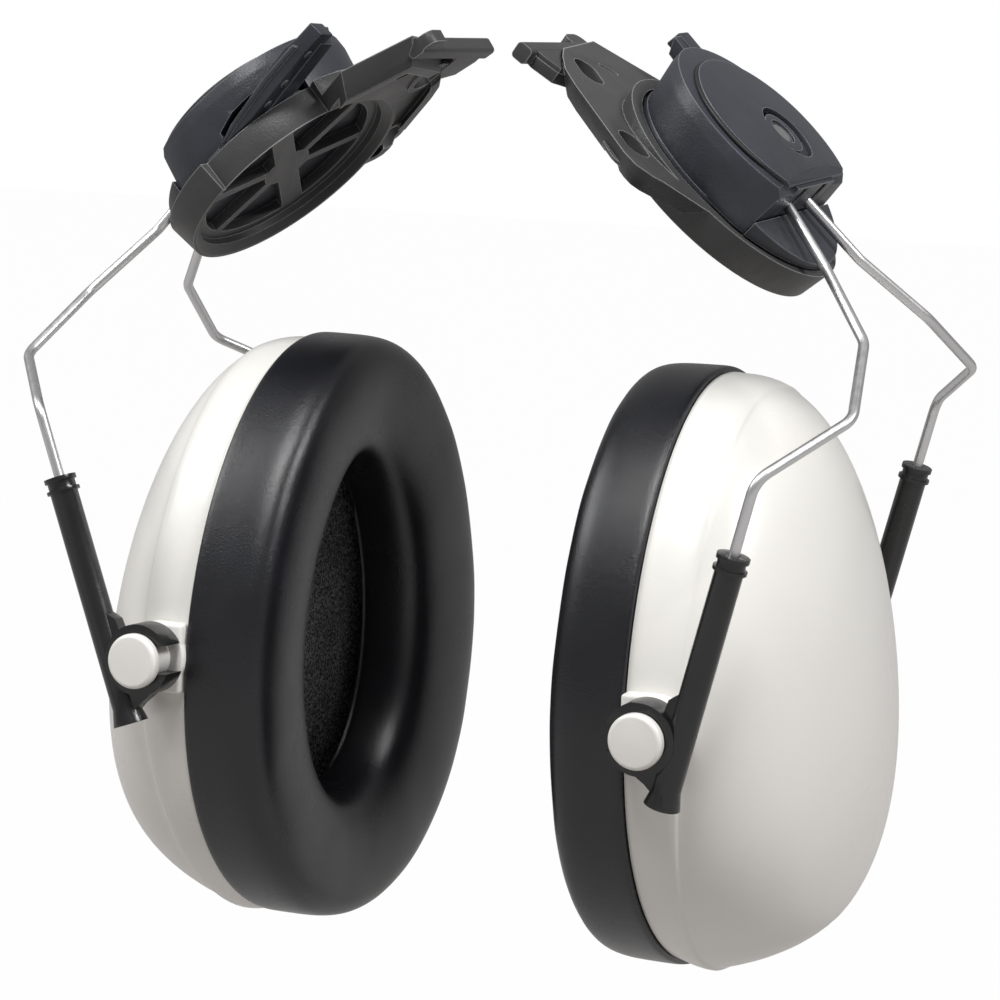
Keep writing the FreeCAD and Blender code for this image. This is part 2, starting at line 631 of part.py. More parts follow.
def dome(width, height, depth, x0):
    """The cup's outer or inner form: ovals that shrink and drop towards the apex."""
    steps = (0.0, 0.16, 0.32, 0.48, 0.62, 0.74, 0.84, 0.91, 0.96, 0.99)
    rings = []
    for t in steps:
        scale = math.sqrt(1 - t ** DOME_POWER)
        rings.append(oval(width * scale, height * scale, x0 + depth * t, dome_middle(t)))
    return Part.makeLoft(rings, True, False)


def cup_shell():
    outer = dome(CUP_W, CUP_H, CUP_DEPTH, -RIM_IN)
    inner = dome(CUP_W - 2 * CUP_WALL, CUP_H - 2 * CUP_WALL, CUP_DEPTH - CUP_WALL, -RIM_IN)
    face = boss_face()
    bosses = []
    for side in (-1, 1):
        boss = cylinder(BOSS_R, BOSS_DEEP, Vector(0, side * face, 0), Y * -side)
        rest = box(-RIM_IN, 0, *sorted((side * face, side * (face - BOSS_DEEP))), -BOSS_R, BOSS_R)
        bosses += [boss, rest]
    return outer.fuse(bosses).cut(inner).cut([core_below_rim()] + [cap_pin(side) for side in (-1, 1)]).removeSplitter()


def boss_face():
    return LEG_HALF - RING_W / 2 - GAP


def cap_pin(side):
    """Pin of one cap, from its seat in the boss to the cap."""
    length = STUD_DEEP + RING_W + 2 * GAP
    return cylinder(STUD_R, length, Vector(0, side * (boss_face() - STUD_DEEP), 0), Y * side)


def core_below_rim():
    return box(-RIM_IN - 20, -RIM_IN, -80, 80, -80, 80)


def pivot_caps():
    """The two round caps, each on the pin that holds a socket's ring to the cup."""
    seat = LEG_HALF + RING_W / 2 + GAP
    caps = []
    for side in (-1, 1):
        cap = cylinder(CAP_R, CAP_T, Vector(0, side * seat, 0), Y * side)
        crown = [e for e in cap.Edges if e.Closed and abs(abs(e.CenterOfMass.y) - seat - CAP_T) < 1e-6]
        caps.append(cap.makeFillet(CAP_ROUND, crown).fuse(cap_pin(side)).removeSplitter())
    return Part.makeCompound(caps)


def back_plate_size():
    inset = 2 * (CUP_WALL + BACK_PLATE_PLAY)
    return CUP_W - inset, CUP_H - inset


def cushion_back_plate():
    """Hard ring that carries the cushion and snaps into the cup's rim."""
    width, height = back_plate_size()
    x0 = -RIM_IN - BACK_PLATE_T - SEAT
    inset = 2 * (SKIN_T + BACK_PLATE_INSET)
    ring = oval_prism(CUSHION_W - inset, CUSHION_H - inset, x0, x0 + BACK_PLATE_T, CUP_UP)
    lip = oval_prism(width, height, x0, x0 + BACK_PLATE_T + BACK_PLATE_LIP, CUP_UP)
    bore = oval_prism(OPENING_W + 2 * BACK_PLATE_BORE, OPENING_H + 2 * BACK_PLATE_BORE, x0 - 1, x0 + 10, CUP_UP)
    hollow = oval_prism(width - 2 * BACK_PLATE_WALL, height - 2 * BACK_PLATE_WALL, x0 + BACK_PLATE_T, x0 + 10, CUP_UP)
    return ring.fuse(lip).cut(hollow).cut(bore).removeSplitter()


def cushion_form(inset, back, thickness):
    """A cushion ring with rounded face edges, shrunk all round by an inset."""
    face = back - thickness
    body = oval_prism(CUSHION_W - 2 * inset, CUSHION_H - 2 * inset, face, back, CUP_UP)
    body = body.cut(oval_prism(OPENING_W + 2 * inset, OPENING_H + 2 * inset, face - 1, back + 1, CUP_UP))
    edges = [e for e in body.Edges if abs(e.CenterOfMass.x - face) < 1e-6]
    return body.makeFillet(CUSHION_ROUND - inset, edges)


def cushion_cover():
    """Vinyl skin of the cushion, open at the back, where the hard ring closes it."""
    back = -RIM_IN - SEAT
    outer = cushion_form(0.0, back, CUSHION_T - SEAT)
    inner = cushion_form(SKIN_T, back - BACK_PLATE_T - SEAT, CUSHION_T - 2 * SEAT - BACK_PLATE_T - SKIN_T)
    inset = 2 * (SKIN_T + BACK_PLATE_INSET - SEAT)
    seat = oval_prism(CUSHION_W - inset, CUSHION_H - inset, back - BACK_PLATE_T - 2 * SEAT, back + 1, CUP_UP)
    return outer.cut(inner).cut(seat).removeSplitter()


def cushion_foam():
    back = -RIM_IN - SEAT - BACK_PLATE_T - 2 * SEAT
    return cushion_form(SKIN_T + SEAT, back, CUSHION_T - 4 * SEAT - BACK_PLATE_T - SKIN_T)


def cup_liner():
    """Open-pore foam that fills the cup behind the opening."""
    x0 = -RIM_IN + LINER_IN
    along = (LINER_IN + LINER_T) / (CUP_DEPTH - CUP_WALL)
    scale = math.sqrt(1 - along ** DOME_POWER)
    width, height = ((size - 2 * CUP_WALL) * scale - 2 * LINER_SIDE for size in (CUP_W, CUP_H))
    return oval_prism(width, height, x0, x0 + LINER_T, dome_middle(along))


# ---------------------------------------------------------------- one muff, and the pair

def exit_to_hub():
    """Placement of the hub frame in the muff frame."""
    hub = Vector(*EXIT_FROM_HUB) * -1
    return Placement(hub, Rotation(Y, LEAN))


def muff_place(side):
    """Placement of a muff in the world: the left one is turned half a turn."""
    right = Placement(Vector(EXIT_X, 0, 0), Rotation(Z, TURN_IN))
    return right if side == "right" else Placement(ORIGIN, Rotation(Z, 180)) * right


def arm_swivel(side):
    """Placement that swivels everything carried by the turntable about the hub."""
    hub = exit_to_hub()
    return hub * Placement(ORIGIN, Rotation(Z, SWIVEL[side])) * hub.inverse()


def muff_pieces(side):
    """Every piece of one muff by name, in the muff frame."""
    toe = TOE[side]
    hub = exit_to_hub()
    swivel = arm_swivel(side)
    turned_hub = swivel * hub
    swing = swivel * turn(Y, toe)
    cup_at = swing * Placement(Vector(pivot_point().x, 0, pivot_point().z), Rotation(Y, -toe))
    fork_in_hub = placed(wire_fork(toe), hub.inverse())
    channel = placed(wire_fork(toe, WIRE_R + GAP), hub.inverse())
    front, back = (-1, 1) if side == "right" else (1, -1)
    return {
        "adapter_plate": placed(adapter_plate(), hub),
        "hub_rivet": placed(hub_rivet(), hub),
        "turntable": placed(turntable(), turned_hub),
        "carrier": placed(carrier(channel), turned_hub),
        "hinge_pin": placed(hinge_pin(), turned_hub),
        "toggle_spring": placed(toggle_spring(), turned_hub),
        "housing_cover": placed(housing_cover(), turned_hub),
        "cover_panel": placed(cover_panel(), turned_hub),
        "fork_cam": placed(fork_cam(fork_in_hub), turned_hub),
        "wire_fork": placed(wire_fork(toe), swivel),
        "front_socket": placed(socket(front), swing),
        "back_socket": placed(socket(back), swing),
        "cup_shell": placed(cup_shell(), cup_at),
        "pivot_caps": placed(pivot_caps(), cup_at),
        "cup_liner": placed(cup_liner(), cup_at),
        "cushion_back_plate": placed(cushion_back_plate(), cup_at),
        "cushion_foam": placed(cushion_foam(), cup_at),
        "cushion_cover": placed(cushion_cover(), cup_at),
    }


def build():
    for side in ("right", "left"):
        world = muff_place(side)
        for name, shape in muff_pieces(side).items():
            node = f"{side}_{name}"
            shape = placed(shape, world)
            shape.exportStep(f"parts/{node}.step")
            print(f"{node}: {len(shape.Solids)} solid(s), {shape.Volume / 1000:.2f} cm3, valid {shape.isValid()}")


if __name__ == "__main__":
    build()
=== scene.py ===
# %% [markdown]
# # Helmet-mounted ear muffs
#
# This notebook builds the looks of a pair of ear muffs that clip to a safety helmet. The measured model is loaded
# as a fixed frame: it says where each body is and how it moves. What is made here is what the eye meets: white
# moulded cups, soft black cushions, bright spring wires, and the dark plastic adapters.
#
# The frame could be drawn over by hand, but then a joint that moves would leave the new pieces behind. So each new
# piece is told which body it rides on, and takes its place from that body's own joints.

# %% Load the frame
import bpy
import json
import math
from mathutils import Matrix, Vector, noise

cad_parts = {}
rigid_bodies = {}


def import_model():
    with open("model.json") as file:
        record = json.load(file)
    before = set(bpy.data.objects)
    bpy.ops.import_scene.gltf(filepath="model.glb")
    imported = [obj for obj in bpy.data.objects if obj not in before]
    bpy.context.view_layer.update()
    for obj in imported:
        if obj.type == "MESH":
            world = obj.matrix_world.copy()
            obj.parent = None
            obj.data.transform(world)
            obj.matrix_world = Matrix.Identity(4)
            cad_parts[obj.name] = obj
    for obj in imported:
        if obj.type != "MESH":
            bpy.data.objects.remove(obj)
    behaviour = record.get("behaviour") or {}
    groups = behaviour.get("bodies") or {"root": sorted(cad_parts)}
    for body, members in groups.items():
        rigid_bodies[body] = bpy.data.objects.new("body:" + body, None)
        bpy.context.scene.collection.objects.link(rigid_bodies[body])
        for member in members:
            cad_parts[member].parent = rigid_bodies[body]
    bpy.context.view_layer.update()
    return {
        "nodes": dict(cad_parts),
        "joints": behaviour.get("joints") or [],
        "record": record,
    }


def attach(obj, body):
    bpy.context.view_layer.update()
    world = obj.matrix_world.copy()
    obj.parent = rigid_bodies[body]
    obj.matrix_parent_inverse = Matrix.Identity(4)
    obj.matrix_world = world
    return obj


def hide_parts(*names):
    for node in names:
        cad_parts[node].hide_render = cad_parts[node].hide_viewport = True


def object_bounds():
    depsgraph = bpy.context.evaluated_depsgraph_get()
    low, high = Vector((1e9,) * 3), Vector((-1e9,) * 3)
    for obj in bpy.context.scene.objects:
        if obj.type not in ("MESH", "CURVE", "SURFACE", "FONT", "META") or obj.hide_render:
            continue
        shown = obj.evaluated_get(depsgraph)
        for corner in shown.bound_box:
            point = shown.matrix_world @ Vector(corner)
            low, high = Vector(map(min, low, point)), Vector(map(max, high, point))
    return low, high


bpy.ops.object.select_all(action="SELECT")
bpy.ops.object.delete()
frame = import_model()
MM = 0.001
SIDES = ("right", "left")

# %% [markdown]
# Each muff has three frames of its own. The cup's frame has X out of the cup and Y along its tilting axis. The
# head's frame has Z out of the round housing, and turns with it. The base's frame is the same, but stays with the
# adapter's ring. All three are read from the joints and mounts of the record, so nothing is placed by eye.

# %% Frames of each muff
JOINTS = {joint["name"]: joint for joint in frame["joints"]}
MOUNTS = {mount["name"]: mount for mount in frame["record"]["mounts"]}


def frame_at(origin, x, y):
    """A matrix whose columns are X, Y and Z = X x Y, at an origin."""
    x, y = Vector(x).normalized(), Vector(y).normalized()
    z = x.cross(y)
    return Matrix.Translation(Vector(origin)) @ Matrix((x, y, z)).transposed().to_4x4()


def cup_frame(side):
    tilt = JOINTS[side + "_tilt"]
    out = -Vector(MOUNTS[side + "_ear_face"]["axis"])
    return frame_at(tilt["pos_m"], out, tilt["axis"])


def head_frame(side):
    swivel, fold = JOINTS[side + "_swivel"], JOINTS[side + "_fold"]
    y = -Vector(fold["axis"])
    return frame_at(swivel["pos_m"], y.cross(Vector(swivel["axis"])), y)


def base_frame(side):
    swivel = JOINTS[side + "_swivel"]
    up = Vector(swivel["axis"])
    to_slot = Vector(MOUNTS[side + "_slot_tongue"]["axis"])
    x = -(to_slot - up * to_slot.dot(up)).normalized()
    return frame_at(swivel["pos_m"], x, up.cross(x))


for side in SIDES:
    print(side, "cup pivot at", [round(v, 4) for v in cup_frame(side).translation])

# %% [markdown]
# The camera stands where the muffs are seen a little from the right and a little from above, through a long lens,
# so that the two cups look nearly parallel.

# %% Camera
VIEW_AZIMUTH, VIEW_ELEVATION, VIEW_ROLL = 24.56, 7.75, 1.91
VIEW_DISTANCE = 0.6817
VIEW_TARGET = Vector((1.5, 2.0, -57.8)) * MM
VIEW_LENS = 133.1

azimuth, elevation = math.radians(VIEW_AZIMUTH), math.radians(VIEW_ELEVATION)
back = Vector((math.sin(azimuth) * math.cos(elevation), -math.cos(azimuth) * math.cos(elevation),
               math.sin(elevation)))
camera = bpy.data.objects.new("camera", bpy.data.cameras.new("camera"))
bpy.context.scene.collection.objects.link(camera)
camera.data.lens = VIEW_LENS
camera.data.clip_start, camera.data.clip_end = 0.01, 20
camera.location = VIEW_TARGET + back * VIEW_DISTANCE
turn_to_target = (-back).to_track_quat("-Z", "Y").to_matrix()
camera.rotation_euler = (turn_to_target @ Matrix.Rotation(math.radians(VIEW_ROLL), 3, "Z")).to_euler()
bpy.context.scene.camera = camera
print("camera at", [round(v, 3) for v in camera.location])

# %% [markdown]
# ## Tools of the trade
#
# A few helpers do what a modeller does by hand. An operator acts on whatever is selected, so the first ones clear
# the selection, make one piece the active one, and apply its modifiers. A finished piece keeps its object at the
# origin: its place goes into its mesh, which is what put() does.

# %% Select, apply and place


def deselect():
    bpy.ops.object.select_all(action="DESELECT")


def only(piece):
    """Makes one piece the selected and active one."""
    deselect()
    piece.select_set(True)
    bpy.context.view_layer.objects.active = piece


def apply_modifiers(piece):
    only(piece)
    for modifier in list(piece.modifiers):
        bpy.ops.object.modifier_apply(modifier=modifier.name)


def put(piece, matrix):
    """Moves the mesh itself, so that the object stays at the origin."""
    piece.data.transform(matrix)
    piece.data.update()


def smooth(piece, angle=40):
    only(piece)
    bpy.ops.object.shade_smooth_by_angle(angle=math.radians(angle))


def round_edges(piece, width, angle=30, segments=3):
    """Rounds the edges that are sharper than an angle."""
    edge = piece.modifiers.new("edge", "BEVEL")
    edge.width, edge.segments = width * MM, segments
    edge.limit_method, edge.angle_limit = "ANGLE", math.radians(angle)
    apply_modifiers(piece)


def face_outwards(piece):
    """Turns every face outwards again, after a turn that may have flipped them."""
    only(piece)
    bpy.ops.object.mode_set(mode="EDIT")
    bpy.ops.mesh.select_all(action="SELECT")
    bpy.ops.mesh.normals_make_consistent(inside=False)
    bpy.ops.object.mode_set(mode="OBJECT")


def join(piece, others):
    """Joins other pieces to a piece."""
    deselect()
    for part in [*others, piece]:
        part.select_set(True)
    bpy.context.view_layer.objects.active = piece
    bpy.ops.object.join()


# %% [markdown]
# An egg-shaped ring of edges is the start of cup, cushion and foam. Such shapes could be sculpted from a ball, but
# then their sizes would be guesses. Pulled out ring by ring, like clay on a wheel, every ring has a known width,
# height and depth.

# %% Rings pulled out
RING_POINTS = 128
EGG = 0.09


def pulled_rings(name, rings, closed=False, egg=EGG):
    """Pulls an egg-shaped ring through a list of (width, height, up, depth); a closed one ends where it began."""
    deselect()
    bpy.ops.mesh.primitive_circle_add(vertices=RING_POINTS, radius=0.5, fill_type="NOTHING")
    piece = bpy.context.object
    piece.name = name
    for vertex in piece.data.vertices:
        vertex.co.x *= 1 - egg * 2 * vertex.co.y
    width, height, up, depth = rings[0]
    put(piece, Matrix.Translation((0, up, depth)) @ Matrix.Diagonal((width, height, 1, 1)))
    bpy.ops.object.mode_set(mode="EDIT")
    bpy.ops.mesh.select_all(action="SELECT")
    for next_width, next_height, next_up, next_depth in rings[1:]:
        step = (0, next_up - up, next_depth - depth)
        bpy.ops.mesh.extrude_region_move(TRANSFORM_OT_translate={"value": step})
        bpy.ops.transform.resize(value=(next_width / width, next_height / height, 1),
                                 center_override=(0, next_up, next_depth))
        width, height, up, depth = next_width, next_height, next_up, next_depth
    if not closed:
        bpy.ops.mesh.merge(type="CENTER")
    bpy.ops.mesh.select_all(action="SELECT")
    bpy.ops.mesh.remove_doubles(threshold=1e-6)
    bpy.ops.mesh.normals_make_consistent(inside=False)
    bpy.ops.object.mode_set(mode="OBJECT")
    return piece


print("a ring has", RING_POINTS, "points")

# %% [markdown]
# Flat parts are cut from slabs, as from sheet. A plane shortens a piece, and a cutter leaves its shape in it. The
# exact solver is slower than the fast one, but it copes with faces that nearly touch.

# %% Slabs, planes and cutters


def cut_off(piece, place, normal):
    """Cuts a piece with a plane and closes it; what lies on the normal's side goes."""
    only(piece)
    bpy.ops.object.mode_set(mode="EDIT")
    bpy.ops.mesh.select_all(action="SELECT")
    bpy.ops.mesh.bisect(plane_co=place, plane_no=normal, use_fill=True, clear_outer=True)
    bpy.ops.object.mode_set(mode="OBJECT")


def carve(piece, cutter):
    """Takes a cutter's shape out of a piece."""
    hole = piece.modifiers.new("hole", "BOOLEAN")
    hole.object = cutter
    hole.operation = "DIFFERENCE"
    hole.solver = "EXACT"
    apply_modifiers(piece)
    bpy.data.objects.remove(cutter)


def slab(name, outline, near, far):
    """A flat slab from an outline of (x, z) corners, pulled along Y; all in millimetres."""
    deselect()
    bpy.ops.mesh.primitive_circle_add(vertices=len(outline), radius=MM, fill_type="NGON")
    piece = bpy.context.object
    piece.name = name
    for vertex, (x, z) in zip(piece.data.vertices, outline):
        vertex.co = Vector((x, near, z)) * MM
    bpy.ops.object.mode_set(mode="EDIT")
    bpy.ops.mesh.select_all(action="SELECT")
    bpy.ops.mesh.extrude_region_move(TRANSFORM_OT_translate={"value": (0, (far - near) * MM, 0)})
    bpy.ops.mesh.select_all(action="SELECT")
    bpy.ops.mesh.normals_make_consistent(inside=False)
    bpy.ops.object.mode_set(mode="OBJECT")
    return piece


def disc(radius, place, depth):
    """A round cutter; radius, place and depth in millimetres."""
    deselect()
    bpy.ops.mesh.primitive_cylinder_add(vertices=96, radius=radius * MM, depth=depth * MM,
                                        location=Vector(place) * MM)
    bpy.ops.object.transform_apply(location=True)
    return bpy.context.object


# %% [markdown]
# ## Materials
#
# Moulded plastic is never quite even: its tool leaves a fine grain, and the gloss changes a little from place to
# place. Each finish below has its own grain, made from noise in the object's own coordinates, so it stays put when
# a joint moves. The strengths are small: at arm's length the grain only softens the highlight.

# %% Helpers for materials
PATTERN_LOW, PATTERN_HIGH = 0.2, 0.8


def new_finish(name, color, roughness, metallic=0.0, specular=0.5):
    """A principled material and the two nodes every finish starts from."""
    material = bpy.data.materials.new(name)
    material.use_nodes = True
    tree = material.node_tree
    shader = tree.nodes["Principled BSDF"]
    shader.inputs["Base Color"].default_value = (*color, 1)
    shader.inputs["Roughness"].default_value = roughness
    shader.inputs["Metallic"].default_value = metallic
    shader.inputs["Specular IOR Level"].default_value = specular
    place = tree.nodes.new("ShaderNodeTexCoord").outputs["Object"]
    return material, tree, shader, place


def grain(tree, place, scale, detail=3.0, kind="ShaderNodeTexNoise"):
    """A noise or cell pattern; scale is in cells per metre."""
    node = tree.nodes.new(kind)
    node.inputs["Scale"].default_value = scale
    if "Detail" in node.inputs:
        node.inputs["Detail"].default_value = detail
    tree.links.new(place, node.inputs["Vector"])
    return node


def bumped(tree, shader, height, distance, strength=1.0, over=None):
    """Feeds a height into the shader's normal, on top of an earlier bump if there is one."""
    bump = tree.nodes.new("ShaderNodeBump")
    bump.inputs["Strength"].default_value = strength
    bump.inputs["Distance"].default_value = distance
    tree.links.new(height, bump.inputs["Height"])
    if over:
        tree.links.new(over.outputs["Normal"], bump.inputs["Normal"])
    tree.links.new(bump.outputs["Normal"], shader.inputs["Normal"])
    return bump


def varied(tree, value, low, high, socket):
    """Spreads a pattern softly between two numbers and feeds it to a socket."""
    spread = tree.nodes.new("ShaderNodeMapRange")
    spread.interpolation_type = "SMOOTHSTEP"
    spread.inputs["From Min"].default_value = PATTERN_LOW
    spread.inputs["From Max"].default_value = PATTERN_HIGH
    spread.inputs["To Min"].default_value = low
    spread.inputs["To Max"].default_value = high
    tree.links.new(value, spread.inputs["Value"])
    tree.links.new(spread.outputs["Result"], socket)


def tinted(tree, value, dark, light, shader):
    """Colours a pattern softly between two colours."""
    ramp = tree.nodes.new("ShaderNodeValToRGB")
    ramp.color_ramp.interpolation = "EASE"
    stops = ramp.color_ramp.elements
    stops[0].position, stops[1].position = PATTERN_LOW, PATTERN_HIGH
    stops[0].color, stops[1].color = (*dark, 1), (*light, 1)
    tree.links.new(value, ramp.inputs["Fac"])
    tree.links.new(ramp.outputs["Color"], shader.inputs["Base Color"])


# %% [markdown]
# The cups are hard white plastic with the faint orange peel of a polished tool. One flat white would look like
# paper, so two close whites drift over it, a coarse and a fine bump break up the highlight, and a thin coat keeps
# that highlight soft at its edge.

# %% White moulded cup


def white_cup_plastic():
    """Warm white, glossy, with orange peel."""
    material, tree, shader, place = new_finish("white cup plastic", (0.84, 0.825, 0.785), 0.3)
    cloud = grain(tree, place, 24, 2.0).outputs["Fac"]
    tinted(tree, cloud, (0.815, 0.80, 0.757), (0.862, 0.85, 0.812), shader)
    varied(tree, cloud, 0.26, 0.34, shader.inputs["Roughness"])
    peel = bumped(tree, shader, grain(tree, place, 420, 2.0).outputs["Fac"], 0.00003)
    bumped(tree, shader, grain(tree, place, 2600, 2.0).outputs["Fac"], 0.000008, over=peel)
    shader.inputs["Coat Weight"].default_value = 0.15
    shader.inputs["Coat Roughness"].default_value = 0.22
    return material


# %% [markdown]
# The cushions' skin is soft black vinyl with a leather grain. Plain noise would give a smoky surface; rounded
# cells with valleys between them look like pebbled leather. A finer noise on top keeps them from looking stamped.

# %% Black vinyl


def black_vinyl():
    """Blue-black, quite glossy, with a leather grain."""
    material, tree, shader, place = new_finish("black vinyl", (0.009, 0.0095, 0.012), 0.26)
    cloud = grain(tree, place, 60, 3.0).outputs["Fac"]
    tinted(tree, cloud, (0.0065, 0.0068, 0.0085), (0.0105, 0.011, 0.0145), shader)
    varied(tree, cloud, 0.24, 0.29, shader.inputs["Roughness"])
    cells = grain(tree, place, 2900, kind="ShaderNodeTexVoronoi").outputs["Distance"]
    leather = bumped(tree, shader, cells, 0.00004, 0.7)
    bumped(tree, shader, grain(tree, place, 4200, 1.0).outputs["Fac"], 0.00002, 0.7, over=leather)
    shader.inputs["Sheen Weight"].default_value = 0.02
    return material


# %% [markdown]
# The foam in the cup is open-pored: dark holes and paler cell walls. The distance inside a cell says hole or wall,
# and multiplied by noise it leaves only some of the walls pale, as in foam that was cut and not moulded.

# %% Open-pore foam


def pore_foam():
    """Near black and dull, with pale flecks where a cell's wall is cut."""
    material, tree, shader, place = new_finish("open-pore foam", (0.03, 0.03, 0.032), 0.9, specular=0.25)
    pores = grain(tree, place, 1700, kind="ShaderNodeTexVoronoi")
    fleck = grain(tree, place, 2300, 1.0).outputs["Fac"]
    walls = tree.nodes.new("ShaderNodeMath")
    walls.operation = "MULTIPLY"
    tree.links.new(pores.outputs["Distance"], walls.inputs[0])
    tree.links.new(fleck, walls.inputs[1])
    tinted(tree, walls.outputs[0], (0.022, 0.022, 0.023), (0.6, 0.6, 0.61), shader)
    coarse = bumped(tree, shader, pores.outputs["Distance"], 0.0006)
    bumped(tree, shader, fleck, 0.0003, over=coarse)
    return material


# %% [markdown]
# Four kinds of part are dark moulded plastic. They differ only in tone, gloss and grain, so one function makes
# them all: two close tones, a gloss that varies, a fine grain from the tool, and a slow waviness under it.

# %% Dark plastics


def dark_plastic(name, dark, light, roughness, grain_depth, specular=0.4):
    """A moulded dark plastic: two close tones, an uneven gloss and a fine tool grain."""
    material, tree, shader, place = new_finish(name, dark, roughness, specular=specular)
    cloud = grain(tree, place, 90, 4.0).outputs["Fac"]
    tinted(tree, cloud, dark, light, shader)
    varied(tree, cloud, roughness - 0.05, roughness + 0.06, shader.inputs["Roughness"])
    tool = bumped(tree, shader, grain(tree, place, 2400, 2.0).outputs["Fac"], grain_depth)
    bumped(tree, shader, grain(tree, place, 500, 2.0).outputs["Fac"], grain_depth * 0.8, over=tool)
    return material


# %% [markdown]
# Bright lines run along the mouldings' edges, where their small rounds catch the lamps. Here they are painted
# highlights: the colour is lightened along the edges. A mask could be painted, but would be out of place after each
# change of shape. The Bevel node finds the edges by itself.

# %% Painted edge highlights


def painted_edge_highlights(material, color, width=0.00035):
    """Paints highlights along a plastic's edges by lightening its colour where a rounded normal leaves the true one.
    """
    tree = material.node_tree
    shader = tree.nodes["Principled BSDF"]
    rounded = tree.nodes.new("ShaderNodeBevel")
    rounded.samples = 6
    rounded.inputs["Radius"].default_value = width
    true = tree.nodes.new("ShaderNodeNewGeometry")
    turned = tree.nodes.new("ShaderNodeVectorMath")
    turned.operation = "DOT_PRODUCT"
    tree.links.new(rounded.outputs["Normal"], turned.inputs[0])
    tree.links.new(true.outputs["Normal"], turned.inputs[1])
    share = tree.nodes.new("ShaderNodeMapRange")
    share.inputs["From Min"].default_value = 0.985
    share.inputs["From Max"].default_value = 0.9
    tree.links.new(turned.outputs["Value"], share.inputs["Value"])
    mix = tree.nodes.new("ShaderNodeMix")
    mix.data_type = "RGBA"
    body = shader.inputs["Base Color"].links[0].from_socket
    tree.links.new(share.outputs["Result"], mix.inputs["Factor"])
    tree.links.new(body, mix.inputs["A"])
    mix.inputs["B"].default_value = (*color, 1)
    tree.links.new(mix.outputs["Result"], shader.inputs["Base Color"])


# %% [markdown]
# Spring wire is drawn through a die, which leaves faint scratches along it. They are far too shallow to model, and
# only make the gloss uneven, so streaky noise goes to the roughness alone.

# %% Bright wire and plain steel


def drawn_steel(name, color, roughness):
    """Metal with faint scratches: noise squeezed along one way, as drawing leaves it."""
    material, tree, shader, place = new_finish(name, color, roughness, metallic=1.0)
    squeeze = tree.nodes.new("ShaderNodeMapping")
    squeeze.inputs["Scale"].default_value = (700, 700, 60)
    tree.links.new(place, squeeze.inputs["Vector"])
    scratches = grain(tree, squeeze.outputs["Vector"], 1.0, 4.0).outputs["Fac"]
    varied(tree, scratches, roughness * 0.9, roughness * 1.15, shader.inputs["Roughness"])
    return material


# %% [markdown]
# Each finish belongs to a slot that the measured model names. A piece gets its finish by the slot's name.

# %% All finishes
FINISHES = {
    "cup_plastic": white_cup_plastic(),
    "vinyl": black_vinyl(),
    "foam": pore_foam(),
    "adapter_plastic": dark_plastic("charcoal plastic", (0.04, 0.04, 0.041), (0.058, 0.058, 0.059), 0.42, 0.00004),
    "housing_plastic": dark_plastic("blue-black plastic", (0.025, 0.027, 0.034), (0.038, 0.042, 0.053), 0.4,
                                    0.00005),
    "socket_plastic": dark_plastic("black socket plastic", (0.008, 0.008, 0.0085), (0.014, 0.014, 0.0145), 0.24,
                                   0.00002, specular=0.55),
    "hard_ring": dark_plastic("black ring plastic", (0.015, 0.015, 0.015), (0.02, 0.02, 0.02), 0.5, 0.00002),
    "wire": drawn_steel("bright spring wire", (0.66, 0.66, 0.665), 0.36),
    "pin_steel": drawn_steel("plain pin steel", (0.5, 0.5, 0.51), 0.3),
}
# Painted highlights: the edges of the adapters and the housings are lightened in their colour.
painted_edge_highlights(FINISHES["adapter_plastic"], (0.3, 0.3, 0.3))
painted_edge_highlights(FINISHES["housing_plastic"], (0.2, 0.21, 0.23))
print("finishes:", ", ".join(FINISHES))


def give(piece, slot, body):
    """Gives a piece its finish and the body it moves with."""
    piece.data.materials.clear()
    piece.data.materials.append(FINISHES[slot])
    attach(piece, body)
    return piece


# %% [markdown]
# ## Hard parts from the frame
#
# The adapters, housings, sockets and pins already have the right shape in the frame, but every edge on them is
# knife sharp. A moulded edge never is: it is a small radius that catches the light. They could be modelled anew,
# but a copy keeps their fits. So each is copied, its loose triangles are merged and its flat faces dissolved to
# single ones; later a bevel rounds its edges.

# %% Copies of measured parts
MERGE_WITHIN = 2e-6


def flat_copy(node, flatness):
    """A copy of a CAD node; faces that lie flat to each other within an angle become one."""
    deselect()
    piece = bpy.data.objects.new(node + "_moulded", frame["nodes"][node].data.copy())
    bpy.context.scene.collection.objects.link(piece)
    only(piece)
    bpy.ops.object.mode_set(mode="EDIT")
    bpy.ops.mesh.select_all(action="SELECT")
    bpy.ops.mesh.remove_doubles(threshold=MERGE_WITHIN)
    bpy.ops.mesh.dissolve_limited(angle_limit=math.radians(flatness))
    bpy.ops.object.mode_set(mode="OBJECT")
    return piece


# %% [markdown]
# Two of the copies are shaped a little more before their edges are rounded. The first is the carrier, the block
# that holds the wires. Its top comes down to make room for the panel, and the thin bar beside it comes down for
# the lever that lies over it. Moving the points is enough: no new edges are needed.

# %% Carrier
BLOCK_FLUSH = 17.4
BAR_FROM, BAR_ABOVE, BAR_DROP = 13.5, 6.5, 1.4


def shape_carrier(piece, head):
    """Takes the block's top and the thin bar's top down; heights are along the head's Z."""
    back = head.inverted()
    for vertex in piece.data.vertices:
        place = back @ vertex.co
        if place.z > BLOCK_FLUSH * MM:
            place.z = BLOCK_FLUSH * MM
        elif place.y > BAR_FROM * MM and place.z > BAR_ABOVE * MM:
            place.z -= BAR_DROP * MM
        vertex.co = head @ place


# %% [markdown]
# The second is the round housing. Its wall tucks under towards the foot, its side is open where the lever lies,
# and a crescent is sunk into its top. A straight wall has no points between top and foot, so it is cut into bands
# first, and then drawn in. On the block's side the tuck fades out.

# %% Tucked wall
TUCK, TUCK_FOOT, TUCK_TOP = 0.07, 6.0, 14.0
TUCK_BANDS = (8.5, 10.5, 12.5, 14.0)
TUCK_ENDS, TUCK_FADE = 10.0, 8.0


